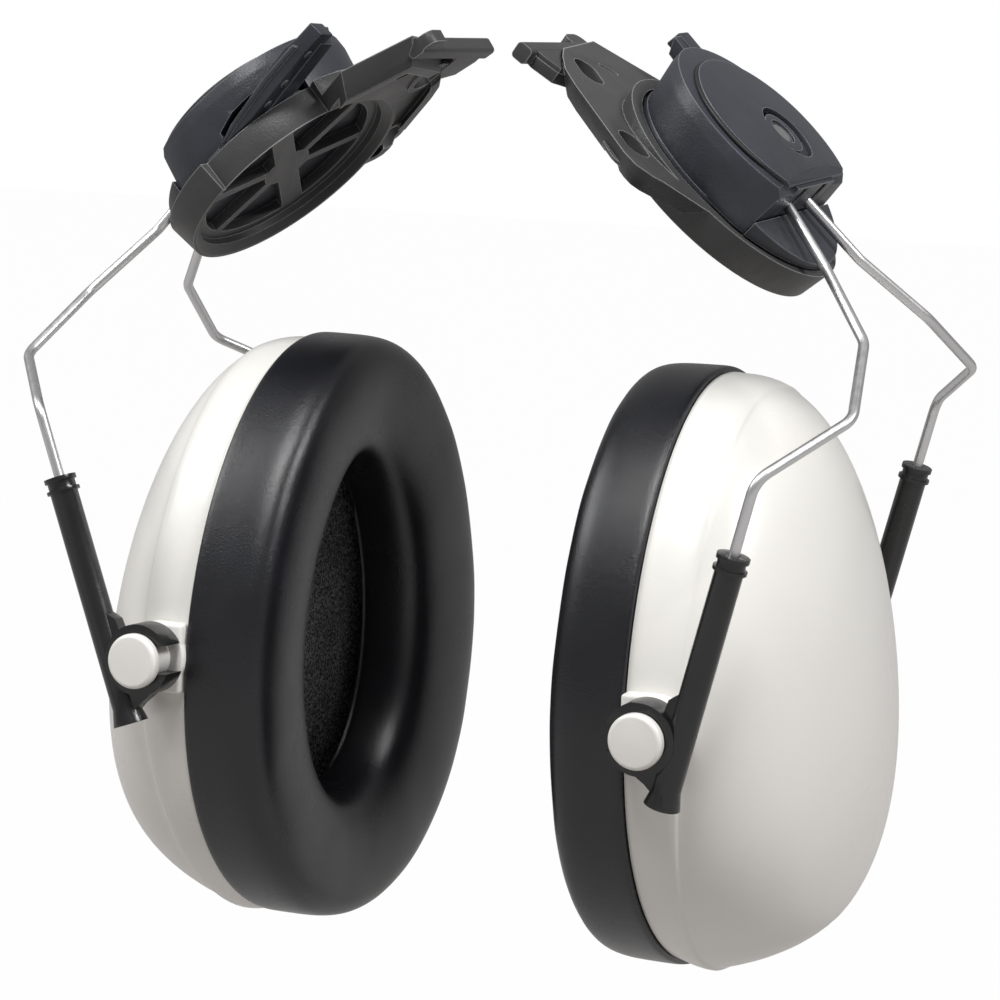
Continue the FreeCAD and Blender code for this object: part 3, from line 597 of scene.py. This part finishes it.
def draw_in(piece, head):
    """Draws the housing's wall in towards its foot; the block's side stays."""
    only(piece)
    bpy.ops.object.mode_set(mode="EDIT")
    for height in TUCK_BANDS:
        bpy.ops.mesh.select_all(action="SELECT")
        bpy.ops.mesh.bisect(plane_co=head @ Vector((0, 0, height * MM)), plane_no=head.col[2].to_3d())
    bpy.ops.object.mode_set(mode="OBJECT")
    back = head.inverted()
    for vertex in piece.data.vertices:
        place = back @ vertex.co
        share = min(1.0, max(0.0, (TUCK_TOP * MM - place.z) / ((TUCK_TOP - TUCK_FOOT) * MM)))
        share *= min(1.0, max(0.0, (TUCK_ENDS * MM - place.x) / (TUCK_FADE * MM)))
        place.x *= 1 - TUCK * share
        place.y *= 1 - TUCK * share
        vertex.co = head @ place


# %% [markdown]
# The lever's outline is drawn once, from its hinge to its free end and back along its foot. The opening for it
# follows the same upper edge, a little higher.

# %% Opening for the lever
LEVER_TOP = ((0.6, 6.45), (-5.0, 8.6), (-8.4, 9.0), (-16.0, 10.8), (-22.5, 11.7), (-25.5, 11.3), (-29.4, 11.5))
LEVER_FOOT = ((-29.8, 8.3), (-25.1, 8.2), (-20.0, 7.65), (-9.3, 6.45))
LEVER_ROOM = 0.3
OPENING_FOOT, OPENING_END = 5.9, (-34.0, 11.8)
OPENING_Y = (13.0, 30.0)


def open_side(piece, head):
    """Opens the housing's side for the lever, from the lever's upper edge down."""
    top = tuple((x, z + LEVER_ROOM) for x, z in LEVER_TOP)
    outline = ((1.0, OPENING_FOOT),) + top + (OPENING_END, (OPENING_END[0], OPENING_FOOT))
    cutter = slab("cutter", outline, *OPENING_Y)
    put(cutter, head)
    carve(piece, cutter)


# %% [markdown]
# The crescent is what is left of a disc when a smaller disc is taken out of it, off its middle. The same cutter
# later goes through the panel that covers the housing.

# %% Crescent
CRESCENT_AT, CRESCENT_R = (0.9, 1.6), 5.9
CRESCENT_WIDE, CRESCENT_SHIFT = 1.5, 1.9
CRESCENT_Z, CRESCENT_DEEP = 17.0, 4.0


def crescent_cutter():
    """The moon-shaped cutter, in the head's frame."""
    x, y = CRESCENT_AT
    moon = disc(CRESCENT_R, (x, y, CRESCENT_Z), CRESCENT_DEEP)
    carve(moon, disc(CRESCENT_R - CRESCENT_WIDE, (x, y - CRESCENT_SHIFT, CRESCENT_Z), CRESCENT_DEEP + 2))
    return moon


def shape_housing(piece, head):
    """Tucks the wall, opens the side and sinks the crescent."""
    draw_in(piece, head)
    open_side(piece, head)
    moon = crescent_cutter()
    put(moon, head)
    carve(piece, moon)


# %% [markdown]
# Now every hard part is copied, shaped if it needs it, and rounded with its own radius. The housing's wall is made
# of many narrow faces that together are round, so only faces that are truly flat are merged there.

# %% Rounded parts
ROUNDED = {
    "adapter_plate": 0.5,
    "hub_rivet": 0.25,
    "turntable": 0.3,
    "carrier": 0.4,
    "hinge_pin": 0.15,
    "housing_cover": 0.4,
    "pivot_caps": 0.2,
    "front_socket": 0.22,
    "back_socket": 0.22,
}
SHAPED = {"carrier": shape_carrier, "housing_cover": shape_housing}
FLATNESS = {"housing_cover": 0.1}
SLOT_OF = {part["node"]: part["material_slot"] for part in frame["record"]["subparts"]}
BODY_OF = {node: body for body, nodes in frame["record"]["behaviour"]["bodies"].items() for node in nodes}


def rounded_copy(side, part, radius):
    """A copy of a CAD node with its edges rounded; it stands for the node."""
    node = f"{side}_{part}"
    piece = flat_copy(node, FLATNESS.get(part, 1.0))
    if part in SHAPED:
        SHAPED[part](piece, head_frame(side))
    round_edges(piece, radius, angle=32)
    smooth(piece, 35)
    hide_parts(node)
    return give(piece, SLOT_OF[node], BODY_OF[node])


for side in SIDES:
    for part, radius in ROUNDED.items():
        moulded = rounded_copy(side, part, radius)
        print(moulded.name, len(moulded.data.polygons), "faces")

# %% [markdown]
# Between the tongue and the skirt of the slot plate the moulding is solid. A small web fills that corner. It lies
# on the sloping plate, so it is cut as a flat slab and tilted into place.

# %% Tongue web
BASE_H, PLATE_SLOPE = 6.2, 8.8
WEB = ((-39.0, -16.4), (-36.6, -16.9), (-32.3, -16.1), (-35.4, -11.2), (-37.6, -7.2), (-38.6, -4.0))
WEB_Z = (0.5, 3.5)


def tongue_web(side):
    """The web in the corner between tongue and skirt."""
    piece = slab(side + "_tongue_web", WEB, *WEB_Z)
    round_edges(piece, 0.3)
    put(piece, Matrix.Rotation(math.radians(-90), 4, "X"))
    slope = Matrix.Rotation(math.radians(-PLATE_SLOPE), 4, "Y")
    put(piece, base_frame(side) @ Matrix.Translation((0, 0, BASE_H * MM)) @ slope)
    face_outwards(piece)
    smooth(piece, 35)
    return give(piece, "adapter_plastic", BODY_OF[side + "_adapter_plate"])


for side in SIDES:
    print(tongue_web(side).name, "made")

# %% [markdown]
# The release lever lies along the housing's side and rises to its free end. It is cut from a slab, with a raised
# ridge along its outer face and a few moulding bumps along its foot. The three are joined to one mesh.

# %% Lever
LEVER_Y = (16.8, 21.3)
RIDGE = ((-1.2, 7.0), (-6.5, 8.6), (-16.0, 10.2), (-24.0, 10.8), (-24.6, 9.9), (-16.0, 9.2), (-6.0, 7.6), (-2.0, 6.6))
RIDGE_SUNK, RIDGE_PROUD = 0.4, 0.5
BUMPS = ((-12.5, 7.25), (-17.5, 7.75), (-24.5, 8.6))
BUMP_R, BUMP_Y = 0.9, 19.4


def bump(x, z):
    """One moulding bump on the lever's foot."""
    deselect()
    bpy.ops.mesh.primitive_uv_sphere_add(segments=24, ring_count=12, radius=BUMP_R * MM,
                                         location=Vector((x, BUMP_Y, z)) * MM)
    bpy.ops.object.transform_apply(location=True)
    return bpy.context.object


def lever(side):
    """The lever with its ridge and bumps."""
    bar = slab(side + "_lever", LEVER_TOP + LEVER_FOOT, *LEVER_Y)
    ridge = slab("ridge", RIDGE, LEVER_Y[1] - RIDGE_SUNK, LEVER_Y[1] + RIDGE_PROUD)
    for part in (bar, ridge):
        round_edges(part, 0.35, angle=25)
    join(bar, [ridge] + [bump(x, z) for x, z in BUMPS])
    put(bar, head_frame(side))
    smooth(bar, 35)
    return give(bar, "housing_plastic", side + "_head")


for side in SIDES:
    print(lever(side).name, "made")

# %% [markdown]
# ## The panel over the housing
#
# A crowned panel closes the top of each housing and runs forward over the block to its front bevel. A flat disc
# could be bent to the crown, but pulled rings follow it with fewer steps. The crowned disc is then cut off square
# and bevelled in front with two planes, and the crescent and a shallow round recess are taken out with cutters.

# %% Panel
CROWN_TOP, CROWN_BEND = 17.6, 152.3
PANEL_AT = -1.5
PANEL_WIDE, PANEL_BACK = 18.7, 16.4
PANEL_LIFT, PANEL_SUNK = 0.95, 0.2
PANEL_RINGS = (0.93, 0.8, 0.6, 0.4, 0.2, 0.08)
PANEL_FRONT = 10.9
PANEL_BEVEL, BEVEL_WAY = 1.7, (0.55, 0, 0.83)
BADGE_AT, BADGE_R, BADGE_FLOOR = (0.6, -0.2), 2.7, 17.9


def crown(r):
    """Height of the housing's crown at a distance from its middle."""
    return CROWN_TOP - r * r / (2 * CROWN_BEND)


def crowned_disc(name):
    """The whole panel before its front is cut: rings that follow the crown, drawn in a little at the back."""
    edge = crown(PANEL_WIDE)
    rings = [(1.0, edge - PANEL_SUNK), (1.0, edge + PANEL_LIFT)]
    rings += [(share, crown(PANEL_WIDE * share) + PANEL_LIFT) for share in PANEL_RINGS]
    pulled = [(2 * PANEL_WIDE * share * MM, 2 * PANEL_WIDE * share * MM, 0, height * MM) for share, height in rings]
    piece = pulled_rings(name, pulled, egg=0.0)
    for vertex in piece.data.vertices:
        if vertex.co.x < 0:
            vertex.co.x *= PANEL_BACK / PANEL_WIDE
    put(piece, Matrix.Translation((PANEL_AT * MM, 0, 0)))
    only(piece)
    bpy.ops.object.mode_set(mode="EDIT")
    bpy.ops.mesh.select_all(action="SELECT")
    bpy.ops.mesh.fill_holes(sides=0)
    bpy.ops.object.mode_set(mode="OBJECT")
    return piece


def panel(side):
    """The panel with its front, crescent and recess cut."""
    piece = crowned_disc(side + "_panel")
    cut_off(piece, (PANEL_FRONT * MM, 0, 0), (1, 0, 0))
    top = crown(PANEL_FRONT - PANEL_AT) + PANEL_LIFT
    cut_off(piece, ((PANEL_FRONT - PANEL_BEVEL) * MM, 0, top * MM), BEVEL_WAY)
    carve(piece, crescent_cutter())
    carve(piece, disc(BADGE_R, (*BADGE_AT, BADGE_FLOOR + 1.0), 2.0))
    round_edges(piece, 0.16, segments=2)
    put(piece, head_frame(side))
    smooth(piece, 30)
    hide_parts(side + "_cover_panel")
    return give(piece, "housing_plastic", side + "_head")


print("the crown drops", round(crown(0) - crown(PANEL_WIDE), 2), "mm to the panel's edge")

# %% [markdown]
# A plain domed button sits in the recess. A ball pressed flat has just such a dome, and its lower half is out of
# sight in the panel.

# %% Button
BUTTON_SHARE, BUTTON_FLAT = 0.86, 0.22


def button(side):
    """A plain domed button in the recess."""
    deselect()
    bpy.ops.mesh.primitive_uv_sphere_add(segments=48, ring_count=24, radius=BADGE_R * BUTTON_SHARE * MM)
    piece = bpy.context.object
    piece.name = side + "_button"
    put(piece, Matrix.Diagonal((1, 1, BUTTON_FLAT, 1)))
    put(piece, Matrix.Translation(Vector((*BADGE_AT, BADGE_FLOOR)) * MM))
    put(piece, head_frame(side))
    smooth(piece, 60)
    return give(piece, "pin_steel", side + "_head")


print("the button is", round(2 * BADGE_R * BUTTON_SHARE, 2), "mm wide in a recess of", 2 * BADGE_R, "mm")

# %% [markdown]
# Panel and housing are two mouldings, and where they meet, the shade in the narrow gap between them shows as a dark
# line. Only a real gap keeps such a line from every angle, but a gap this narrow would need the housing's whole top
# cut again. A thin dark ring, half sunk in the joint, paints that shade instead.

# %% Painted shade in the joint
JOINT_THIN, JOINT_OUT, JOINT_UP = 0.02, 0.15, 0.1
JOINT_FRONT = 8.0


def joint_shade_ring(side):
    """A thin dark ring round the panel's back end: painted shade in the joint."""
    deselect()
    bpy.ops.mesh.primitive_torus_add(major_segments=96, minor_segments=8, major_radius=1, minor_radius=JOINT_THIN)
    piece = bpy.context.object
    piece.name = side + "_panel_joint"
    width = (PANEL_WIDE + JOINT_OUT) * MM
    put(piece, Matrix.Diagonal((width * PANEL_BACK / PANEL_WIDE, width, width, 1)))
    put(piece, Matrix.Translation((PANEL_AT * MM, 0, (crown(PANEL_BACK) + JOINT_UP) * MM)))
    cut_off(piece, (JOINT_FRONT * MM, 0, 0), (1, 0, 0))
    put(piece, head_frame(side))
    smooth(piece, 60)
    # The ring's black plastic is painted shade for the narrow gap.
    return give(piece, "hard_ring", side + "_head")


for side in SIDES:
    print(panel(side).name, button(side).name, "and", joint_shade_ring(side).name, "made")

# %% [markdown]
# ## The wires
#
# One spring wire makes both legs of a fork. A real one is bent round pins, so its runs are straight and every
# bend has the same small radius. A tube could be extruded along each run, but its bends would be faceted. A Bezier
# curve does it well: two points at each bend, with handles as long as a round arc needs.

# %% Places along a wire, in millimetres and degrees
LEAN = 43.5
EXIT_FROM_HUB = (15.9, 0.0, 0.6)
TOE = {"right": 0.0, "left": 6.0}
WIRE_R = 0.95
BEND_R = 5.0
EXIT_HALF = 5.0
INSIDE = 7.0
LEG_HALF = 49.8
BENDS = ((9.0, 9.0, -10.5), (19.2, 18.1, -21.4), (23.0, 34.6, -32.1), (11.6, LEG_HALF, -41.0))
LEG_LENGTH = 55.0
LEG_SLANT = 15.0


def arm_frame(side, toe):
    """The arm's frame: origin between the wires' exits, Y as the fold axis, Z up."""
    hub = Matrix.Translation(-Vector(EXIT_FROM_HUB) * MM) @ Matrix.Rotation(math.radians(LEAN), 4, "Y")
    return head_frame(side) @ hub.inverted() @ Matrix.Rotation(math.radians(toe), 4, "Y")


def wire_points():
    """One leg's corners beyond its exit, in the arm's frame."""
    slant = math.radians(LEG_SLANT)
    end = Vector(BENDS[-1]) - Vector((math.sin(slant), 0, math.cos(slant))) * LEG_LENGTH
    return [Vector(bend) for bend in BENDS] + [end]


# %% [markdown]
# A handle of 4/3 tan(a/4) times the radius makes a Bezier arc that turns by a look round. The same rule rounds
# each bend and the half circle in the housing, where one leg turns into the other.

# %% Route of a wire


def arc_handle(turn, radius):
    """Length of a Bezier handle for an arc that turns by an angle."""
    return 4 / 3 * math.tan(turn / 4) * radius


def rounded_route(corners, radius):
    """Bezier points (place, handle in, handle out) of straight runs joined by round arcs."""
    route = [(corners[0], None, None)]
    for before, corner, after in zip(corners, corners[1:], corners[2:]):
        a, b = (before - corner).normalized(), (after - corner).normalized()
        half = a.angle(b) / 2
        reach = radius / math.tan(half)
        handle = arc_handle(math.pi - 2 * half, radius)
        start, stop = corner + a * reach, corner + b * reach
        route.append((start, None, start - a * handle))
        route.append((stop, stop - b * handle, None))
    route.append((corners[-1], None, None))
    return route


def fork_route(side):
    """The whole wire: up one leg, round inside the housing, and down the other."""
    still, sprung = arm_frame(side, 0), arm_frame(side, TOE[side])
    inward = -Vector((BENDS[0][0], 0, BENDS[0][2])).normalized()
    legs = []
    for way in (1, -1):
        exit_at = Vector((0, way * EXIT_HALF, 0))
        corners = [still @ ((exit_at + inward * INSIDE) * MM), still @ (exit_at * MM)]
        corners += [sprung @ (Vector((p.x, way * p.y, p.z)) * MM) for p in wire_points()]
        legs.append(rounded_route(corners, BEND_R * MM))
    on, across = inward * arc_handle(math.pi / 2, EXIT_HALF), Vector((0, arc_handle(math.pi / 2, EXIT_HALF), 0))
    tops = [Vector((0, way * EXIT_HALF, 0)) + inward * INSIDE for way in (1, -1)]
    middle = inward * (INSIDE + EXIT_HALF)
    turns = [(still @ (tops[0] * MM), None, still @ ((tops[0] + on) * MM)),
             (still @ (middle * MM), still @ ((middle + across) * MM), still @ ((middle - across) * MM)),
             (still @ (tops[1] * MM), still @ ((tops[1] + on) * MM), None)]
    back = [(place, out, into) for place, into, out in reversed(legs[0])]
    return back[:-1] + turns + legs[1][1:]


# %% [markdown]
# The curve becomes a mesh at the end, with a round section and closed ends.

# %% Wire forks


def wire_fork(side):
    """The bent wire of one muff."""
    route = fork_route(side)
    deselect()
    bpy.ops.curve.primitive_bezier_curve_add()
    piece = bpy.context.object
    piece.name = side + "_wire"
    piece.data.splines.clear()
    spline = piece.data.splines.new("BEZIER")
    spline.bezier_points.add(len(route) - 1)
    for k, (place, into, out) in enumerate(route):
        point = spline.bezier_points[k]
        point.handle_left_type = point.handle_right_type = "FREE"
        point.co = place
        before, after = route[max(k - 1, 0)][0], route[min(k + 1, len(route) - 1)][0]
        point.handle_left = into if into else place.lerp(before, 1 / 3)
        point.handle_right = out if out else place.lerp(after, 1 / 3)
    piece.data.bevel_depth = WIRE_R * MM
    piece.data.bevel_resolution = 6
    piece.data.resolution_u = 10
    piece.data.use_fill_caps = True
    only(piece)
    bpy.ops.object.convert(target="MESH")
    piece = bpy.context.object
    smooth(piece, 40)
    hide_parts(side + "_wire_fork")
    return give(piece, "wire", side + "_arm")


for side in SIDES:
    print(wire_fork(side).name, "bent")

# %% [markdown]
# Three parts sit inside or behind others and are hardly seen: the cams, the springs of the toggles and the back
# plates of the cushions. Their measured shape is good enough, so they only get their finish.

# %% CAD nodes that stay
for side in SIDES:
    for part in ("fork_cam", "toggle_spring", "cushion_back_plate"):
        node = frame["nodes"][f"{side}_{part}"]
        node.data.materials.clear()
        node.data.materials.append(FINISHES[SLOT_OF[node.name]])
        print(node.name, "kept")

# %% [markdown]
# ## The cup
#
# The cup is a deep white dome, egg-shaped, with its crown dropping towards the bottom. It could be a ball pressed
# and pulled into shape, but its rim has to meet the cushion all round, so it is pulled up from that rim. Near the
# rim the tool was split, which leaves a small step all round.

# %% Sizes of the cup, in millimetres
CUP_W, CUP_H, CUP_DEPTH = 89.0, 107.0, 30.8
CUP_UP = 1.6
CUP_RIM = -5.6
CUP_DROP = 15.0
CUP_WALL = 2.4
DOME_BOW = 2.9
DOME_POWER = 2.6
RIM_LIP = ((0.012, -0.25), (0.03, -0.3))
STEP_AT, STEP_IN = 9.5, 0.35
STEP_EDGE = ((0.008, -1.4 * STEP_IN), (0.016, -0.2 * STEP_IN))
DOME_START, DOME_END = STEP_AT / CUP_DEPTH + 0.02, 0.998
WALL_RINGS, DOME_RINGS = 6, 26
SEAM_RISE, SEAM_FADE = 4.6, 24.0
BELLY = 2.2
# A ring lies flat in X and Y and is pulled along Z: this turns Z out of the cup and Y up.
RING_TO_CUP = Matrix(((0, 0, 1, 0), (1, 0, 0, 0), (0, 1, 0, 0), (0, 0, 0, 1)))


def dome_middle(t):
    """The dome's middle sinks late, so its top stays full and its crown sits low."""
    return CUP_UP - CUP_DROP * t ** DOME_BOW


def dome_ring(t, shrink=0.0):
    """One ring of the dome, at t of its depth."""
    scale = math.sqrt(1 - t ** DOME_POWER)
    return ((CUP_W - shrink) * scale * MM, (CUP_H - shrink) * scale * MM, dome_middle(t) * MM,
            (CUP_RIM + CUP_DEPTH * t) * MM)


# %% [markdown]
# Below the pivot the step runs closer to the rim and the wall bellies out. Rings can't do that, as each is level,
# so the finished rings' points are moved: most at the step, and less towards the rim and the crown.

# %% Cup


def cup_rings():
    """Rim, wall up to the step, the step itself, and the dome up to its crown."""
    step = STEP_AT / CUP_DEPTH
    rings = [dome_ring(0.0)] + [dome_ring(*lip) for lip in RIM_LIP]
    rings += [dome_ring(step * k / WALL_RINGS, -2 * STEP_IN * k / WALL_RINGS) for k in range(1, WALL_RINGS + 1)]
    rings += [dome_ring(step + t, wider) for t, wider in STEP_EDGE]
    rise = DOME_END - DOME_START
    rings += [dome_ring(DOME_START + rise * math.sin(math.pi / 2 * k / DOME_RINGS)) for k in range(DOME_RINGS + 1)]
    return rings


def cup(side):
    """The dome with its belly and its wall."""
    piece = pulled_rings(side + "_cup_dome", cup_rings())
    for vertex in piece.data.vertices:
        depth = vertex.co.z / MM - CUP_RIM
        near = max(0.0, min(depth / STEP_AT, (SEAM_FADE - depth) / (SEAM_FADE - STEP_AT)))
        low = max(0.0, (CUP_UP - vertex.co.y / MM) / (CUP_H / 2))
        vertex.co.z -= SEAM_RISE * near * low ** 1.5 * MM
        vertex.co.y -= BELLY * near * low ** 3 * MM
    wall = piece.modifiers.new("wall", "SOLIDIFY")
    wall.thickness = CUP_WALL * MM
    wall.offset = -1
    apply_modifiers(piece)
    put(piece, cup_frame(side) @ RING_TO_CUP)
    smooth(piece, 30)
    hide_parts(side + "_cup_shell")
    return give(piece, "cup_plastic", side + "_cup")


for side in SIDES:
    print(cup(side).name, "made")

# %% [markdown]
# Each side of the cup carries a boss, which takes the pin of a cap. The boss grows out of a block that stands on
# the rim. A cylinder and a cube are the start; both get rounded edges and are joined to one mesh.

# %% Bosses
RING_W = 5.2
STUD_GAP = 0.3
BOSS_R, BOSS_LONG = 6.2, 10.0
BOSS_EDGE = 0.6


def boss(side, way):
    """Boss and block on one side of the cup; way is -1 or 1 along the tilting axis."""
    middle = LEG_HALF - RING_W / 2 - STUD_GAP - BOSS_LONG / 2
    deselect()
    bpy.ops.mesh.primitive_cylinder_add(vertices=64, radius=BOSS_R * MM, depth=BOSS_LONG * MM,
                                        location=(0, 0, middle * MM))
    piece = bpy.context.object
    piece.name = f"{side}_cup_boss_{'front' if way < 0 else 'back'}"
    bpy.ops.object.transform_apply(location=True)
    bpy.ops.mesh.primitive_cube_add(size=1, location=(CUP_RIM / 2 * MM, 0, middle * MM),
                                    scale=(-CUP_RIM * MM, 2 * BOSS_R * MM, BOSS_LONG * MM))
    block = bpy.context.object
    bpy.ops.object.transform_apply(location=True, scale=True)
    for part in (piece, block):
        round_edges(part, BOSS_EDGE)
    join(piece, [block])
    to_side = Matrix.Rotation(math.radians(-90 * way), 4, "X")
    put(piece, cup_frame(side) @ to_side)
    smooth(piece, 35)
    return give(piece, "cup_plastic", side + "_cup")


for side in SIDES:
    for way in (-1, 1):
        print(boss(side, way).name, "made")

# %% [markdown]
# ## The cushion
#
# The cushion is a ring of foam in a welded vinyl skin. Its section is a soft D: a nearly straight side, a firm
# shoulder, a broad face that is hardly crowned, and an inner edge that turns down into the opening. A torus would be
# round all over, so a ring is pulled once round that section instead. The real skin is moulded, not sewn, so no
# cloth has to be simulated; a little noise takes the evenness away.

# %% Cushion
CUSHION_W, CUSHION_H = 92.0, 109.6
OPENING_W, OPENING_H = 40.0, 62.0
CUSHION_GAP = 0.1
LUMPS = ((60, 0.22, (0, 0, 0)), (170, 0.07, (3, 1, 2)))
LUMPS_FULL = 8.0
SECTION = (
    (0.6, 0.0), (0.32, 0.2), (0.16, 0.6), (0.1, 1.4), (0.1, 3.0), (0.12, 5.0), (0.14, 7.5), (0.25, 9.6),
    (0.5, 11.3), (0.9, 12.5), (1.5, 13.5), (2.4, 14.3), (3.6, 14.85), (5.2, 15.15), (7.2, 15.25), (9.4, 15.2),
    (11.6, 15.0), (13.7, 14.7), (15.6, 14.3), (17.3, 13.8), (18.7, 13.2), (19.9, 12.4), (20.8, 11.3), (21.4, 9.9),
    (21.75, 8.2), (21.95, 6.4), (22.1, 4.6), (22.2, 3.0), (22.25, 2.2), (22.1, 1.8), (22.3, 1.4), (22.9, 0.0),
)
SECTION_SPAN = SECTION[-1][0]


def cushion_ring(inward, depth):
    """A ring of the cushion's skin: inward runs from the outer side to the opening."""
    share = inward / SECTION_SPAN
    return ((CUSHION_W + (OPENING_W - CUSHION_W) * share) * MM, (CUSHION_H + (OPENING_H - CUSHION_H) * share) * MM,
            CUP_UP * MM, (CUP_RIM - CUSHION_GAP - depth) * MM)


def cushion(side):
    """The skin, pulled round the section and made a little uneven away from the rim."""
    rings = [cushion_ring(*point) for point in SECTION + SECTION[:1]]
    piece = pulled_rings(side + "_cushion", rings, closed=True)
    for vertex in piece.data.vertices:
        lump = sum(noise.noise(vertex.co * scale + Vector(shift)) * height for scale, height, shift in LUMPS)
        share = min(1.0, max(0.0, (CUP_RIM * MM - vertex.co.z) / (LUMPS_FULL * MM)))
        vertex.co.z -= lump * MM * share
    finer = piece.modifiers.new("finer", "SUBSURF")
    finer.levels = finer.render_levels = 1
    apply_modifiers(piece)
    put(piece, cup_frame(side) @ RING_TO_CUP)
    smooth(piece, 50)
    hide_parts(side + "_cushion_cover", side + "_cushion_foam")
    return give(piece, "vinyl", side + "_cup")


for side in SIDES:
    print(cushion(side).name, "made")

# %% [markdown]
# Behind the opening lies a block of open-pore foam that soaks up sound. It fills the cup's inside, so its size comes
# from the dome at the foam's back, and its face is slightly pillowed. Rings give it that pillow without a cloth.

# %% Foam in the cup
FOAM_FACE = 3.0
FOAM_T = 12.0
FOAM_SIDE = 1.5
PILLOW = ((0.06, 0.0), (0.3, 0.05), (0.6, 0.15), (0.85, 0.4), (0.96, 0.9), (1.0, 1.8), (1.0, FOAM_T - 1),
          (0.98, FOAM_T), (0.3, FOAM_T))


def foam(side):
    """The block in the cup; PILLOW gives the share of its size at each depth behind its face."""
    along = (FOAM_FACE + FOAM_T) / (CUP_DEPTH - CUP_WALL)
    scale = math.sqrt(1 - along ** DOME_POWER)
    width = (CUP_W - 2 * CUP_WALL) * scale - 2 * FOAM_SIDE
    height = (CUP_H - 2 * CUP_WALL) * scale - 2 * FOAM_SIDE
    up = dome_middle(along)
    start = CUP_RIM + FOAM_FACE
    rings = [(width * share * MM, height * share * MM, up * MM, (start + depth) * MM) for share, depth in PILLOW]
    piece = pulled_rings(side + "_foam_block", rings)
    only(piece)
    bpy.ops.object.mode_set(mode="EDIT")
    bpy.ops.mesh.select_all(action="SELECT")
    bpy.ops.mesh.fill_holes(sides=0)
    bpy.ops.mesh.normals_make_consistent(inside=False)
    bpy.ops.object.mode_set(mode="OBJECT")
    put(piece, cup_frame(side) @ RING_TO_CUP)
    smooth(piece, 50)
    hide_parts(side + "_cup_liner")
    return give(piece, "foam", side + "_cup")


for side in SIDES:
    print(foam(side).name, "made")

# %% [markdown]
# ## Floor and light
#
# The muffs hang, as they do on a helmet, so the floor lies well below them. A floor lit until it is white would
# light the muffs from below as well. So it stays a plain matte grey to the light, and only the camera sees it white.
# Reflections see a part of that white.

# %% Floor
FLOOR_DROP = 0.06
FLOOR_SIZE = 6
SEEN_WHITE, MIRRORED_WHITE = 0.985, 0.35


def backdrop_white(name, color):
    """A pale matte surface that shows plain white to the camera, and partly in reflections."""
    material, tree, shader, _ = new_finish(name, color, 0.9, specular=0.1)
    glow = tree.nodes.new("ShaderNodeEmission")
    glow.inputs["Color"].default_value = (1, 1, 1, 1)
    path = tree.nodes.new("ShaderNodeLightPath")
    mirrored = tree.nodes.new("ShaderNodeMath")
    mirrored.operation = "MULTIPLY"
    mirrored.inputs[1].default_value = MIRRORED_WHITE
    tree.links.new(path.outputs["Is Glossy Ray"], mirrored.inputs[0])
    seen = tree.nodes.new("ShaderNodeMath")
    seen.operation = "MAXIMUM"
    tree.links.new(path.outputs["Is Camera Ray"], seen.inputs[0])
    tree.links.new(mirrored.outputs[0], seen.inputs[1])
    share = tree.nodes.new("ShaderNodeMath")
    share.operation = "MULTIPLY"
    share.inputs[1].default_value = SEEN_WHITE
    tree.links.new(seen.outputs[0], share.inputs[0])
    mix = tree.nodes.new("ShaderNodeMixShader")
    tree.links.new(share.outputs[0], mix.inputs["Fac"])
    tree.links.new(shader.outputs["BSDF"], mix.inputs[1])
    tree.links.new(glow.outputs["Emission"], mix.inputs[2])
    tree.links.new(mix.outputs["Shader"], tree.nodes["Material Output"].inputs["Surface"])
    return material


floor_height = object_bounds()[0].z - FLOOR_DROP
deselect()
bpy.ops.mesh.primitive_plane_add(size=FLOOR_SIZE, location=(0, 0, floor_height))
floor = bpy.context.object
floor.name = "floor"
floor.data.materials.append(backdrop_white("pale floor", (0.36, 0.34, 0.33)))
print("floor at", round(floor_height, 3))

# %% [markdown]
# Three softboxes give the white cups their slow fall from bright to grey. The large one hangs above and in front.
# The left one fills the left cup's outer side. The small one, high on the right, draws the long highlights on the
# right cup and on the dark plastics. All three point at the middle of the muffs.

# %% Softboxes
AIM = Vector((0, 0, -60)) * MM
SOFTBOXES = (
    ("overhead softbox", (0.05, -0.7, 1.15), 0.6, 14.5),
    ("left softbox", (-1.1, -0.5, 0.9), 0.5, 8.0),
    ("right softbox", (1.15, -0.12, 0.95), 0.4, 13.5),
)


def softbox(name, location, size, power):
    """An area lamp that points at the middle of the muffs."""
    light = bpy.data.lights.new(name, "AREA")
    light.energy = power
    light.size = size
    holder = bpy.data.objects.new(name, light)
    bpy.context.scene.collection.objects.link(holder)
    holder.location = location
    holder.rotation_euler = (AIM - Vector(location)).to_track_quat("-Z", "Y").to_euler()


for name, location, size, power in SOFTBOXES:
    softbox(name, location, size, power)
    print(name, power, "W")

# %% [markdown]
# The world fills the shadows. It is weak for matte surfaces, a little stronger in reflections, so that the gloss of
# the dark parts shows, and plain white to the camera.

# %% World
FILL = 0.145
WORLD_SEEN = (("Is Glossy Ray", 0.33), ("Is Camera Ray", 1.0))

world = bpy.data.worlds.new("studio")
bpy.context.scene.world = world
world.use_nodes = True
nodes, links = world.node_tree.nodes, world.node_tree.links
path = nodes.new("ShaderNodeLightPath")
seen = nodes["Background"]
seen.inputs["Color"].default_value = (1, 1, 1, 1)
seen.inputs["Strength"].default_value = FILL
for ray, strength in WORLD_SEEN:
    white = nodes.new("ShaderNodeBackground")
    white.inputs["Color"].default_value = (1, 1, 1, 1)
    white.inputs["Strength"].default_value = strength
    mix = nodes.new("ShaderNodeMixShader")
    links.new(path.outputs[ray], mix.inputs["Fac"])
    links.new(seen.outputs[0], mix.inputs[1])
    links.new(white.outputs["Background"], mix.inputs[2])
    seen = mix
links.new(seen.outputs[0], nodes["World Output"].inputs["Surface"])
bpy.context.scene.view_settings.view_transform = "Standard"
print("world strength", FILL)
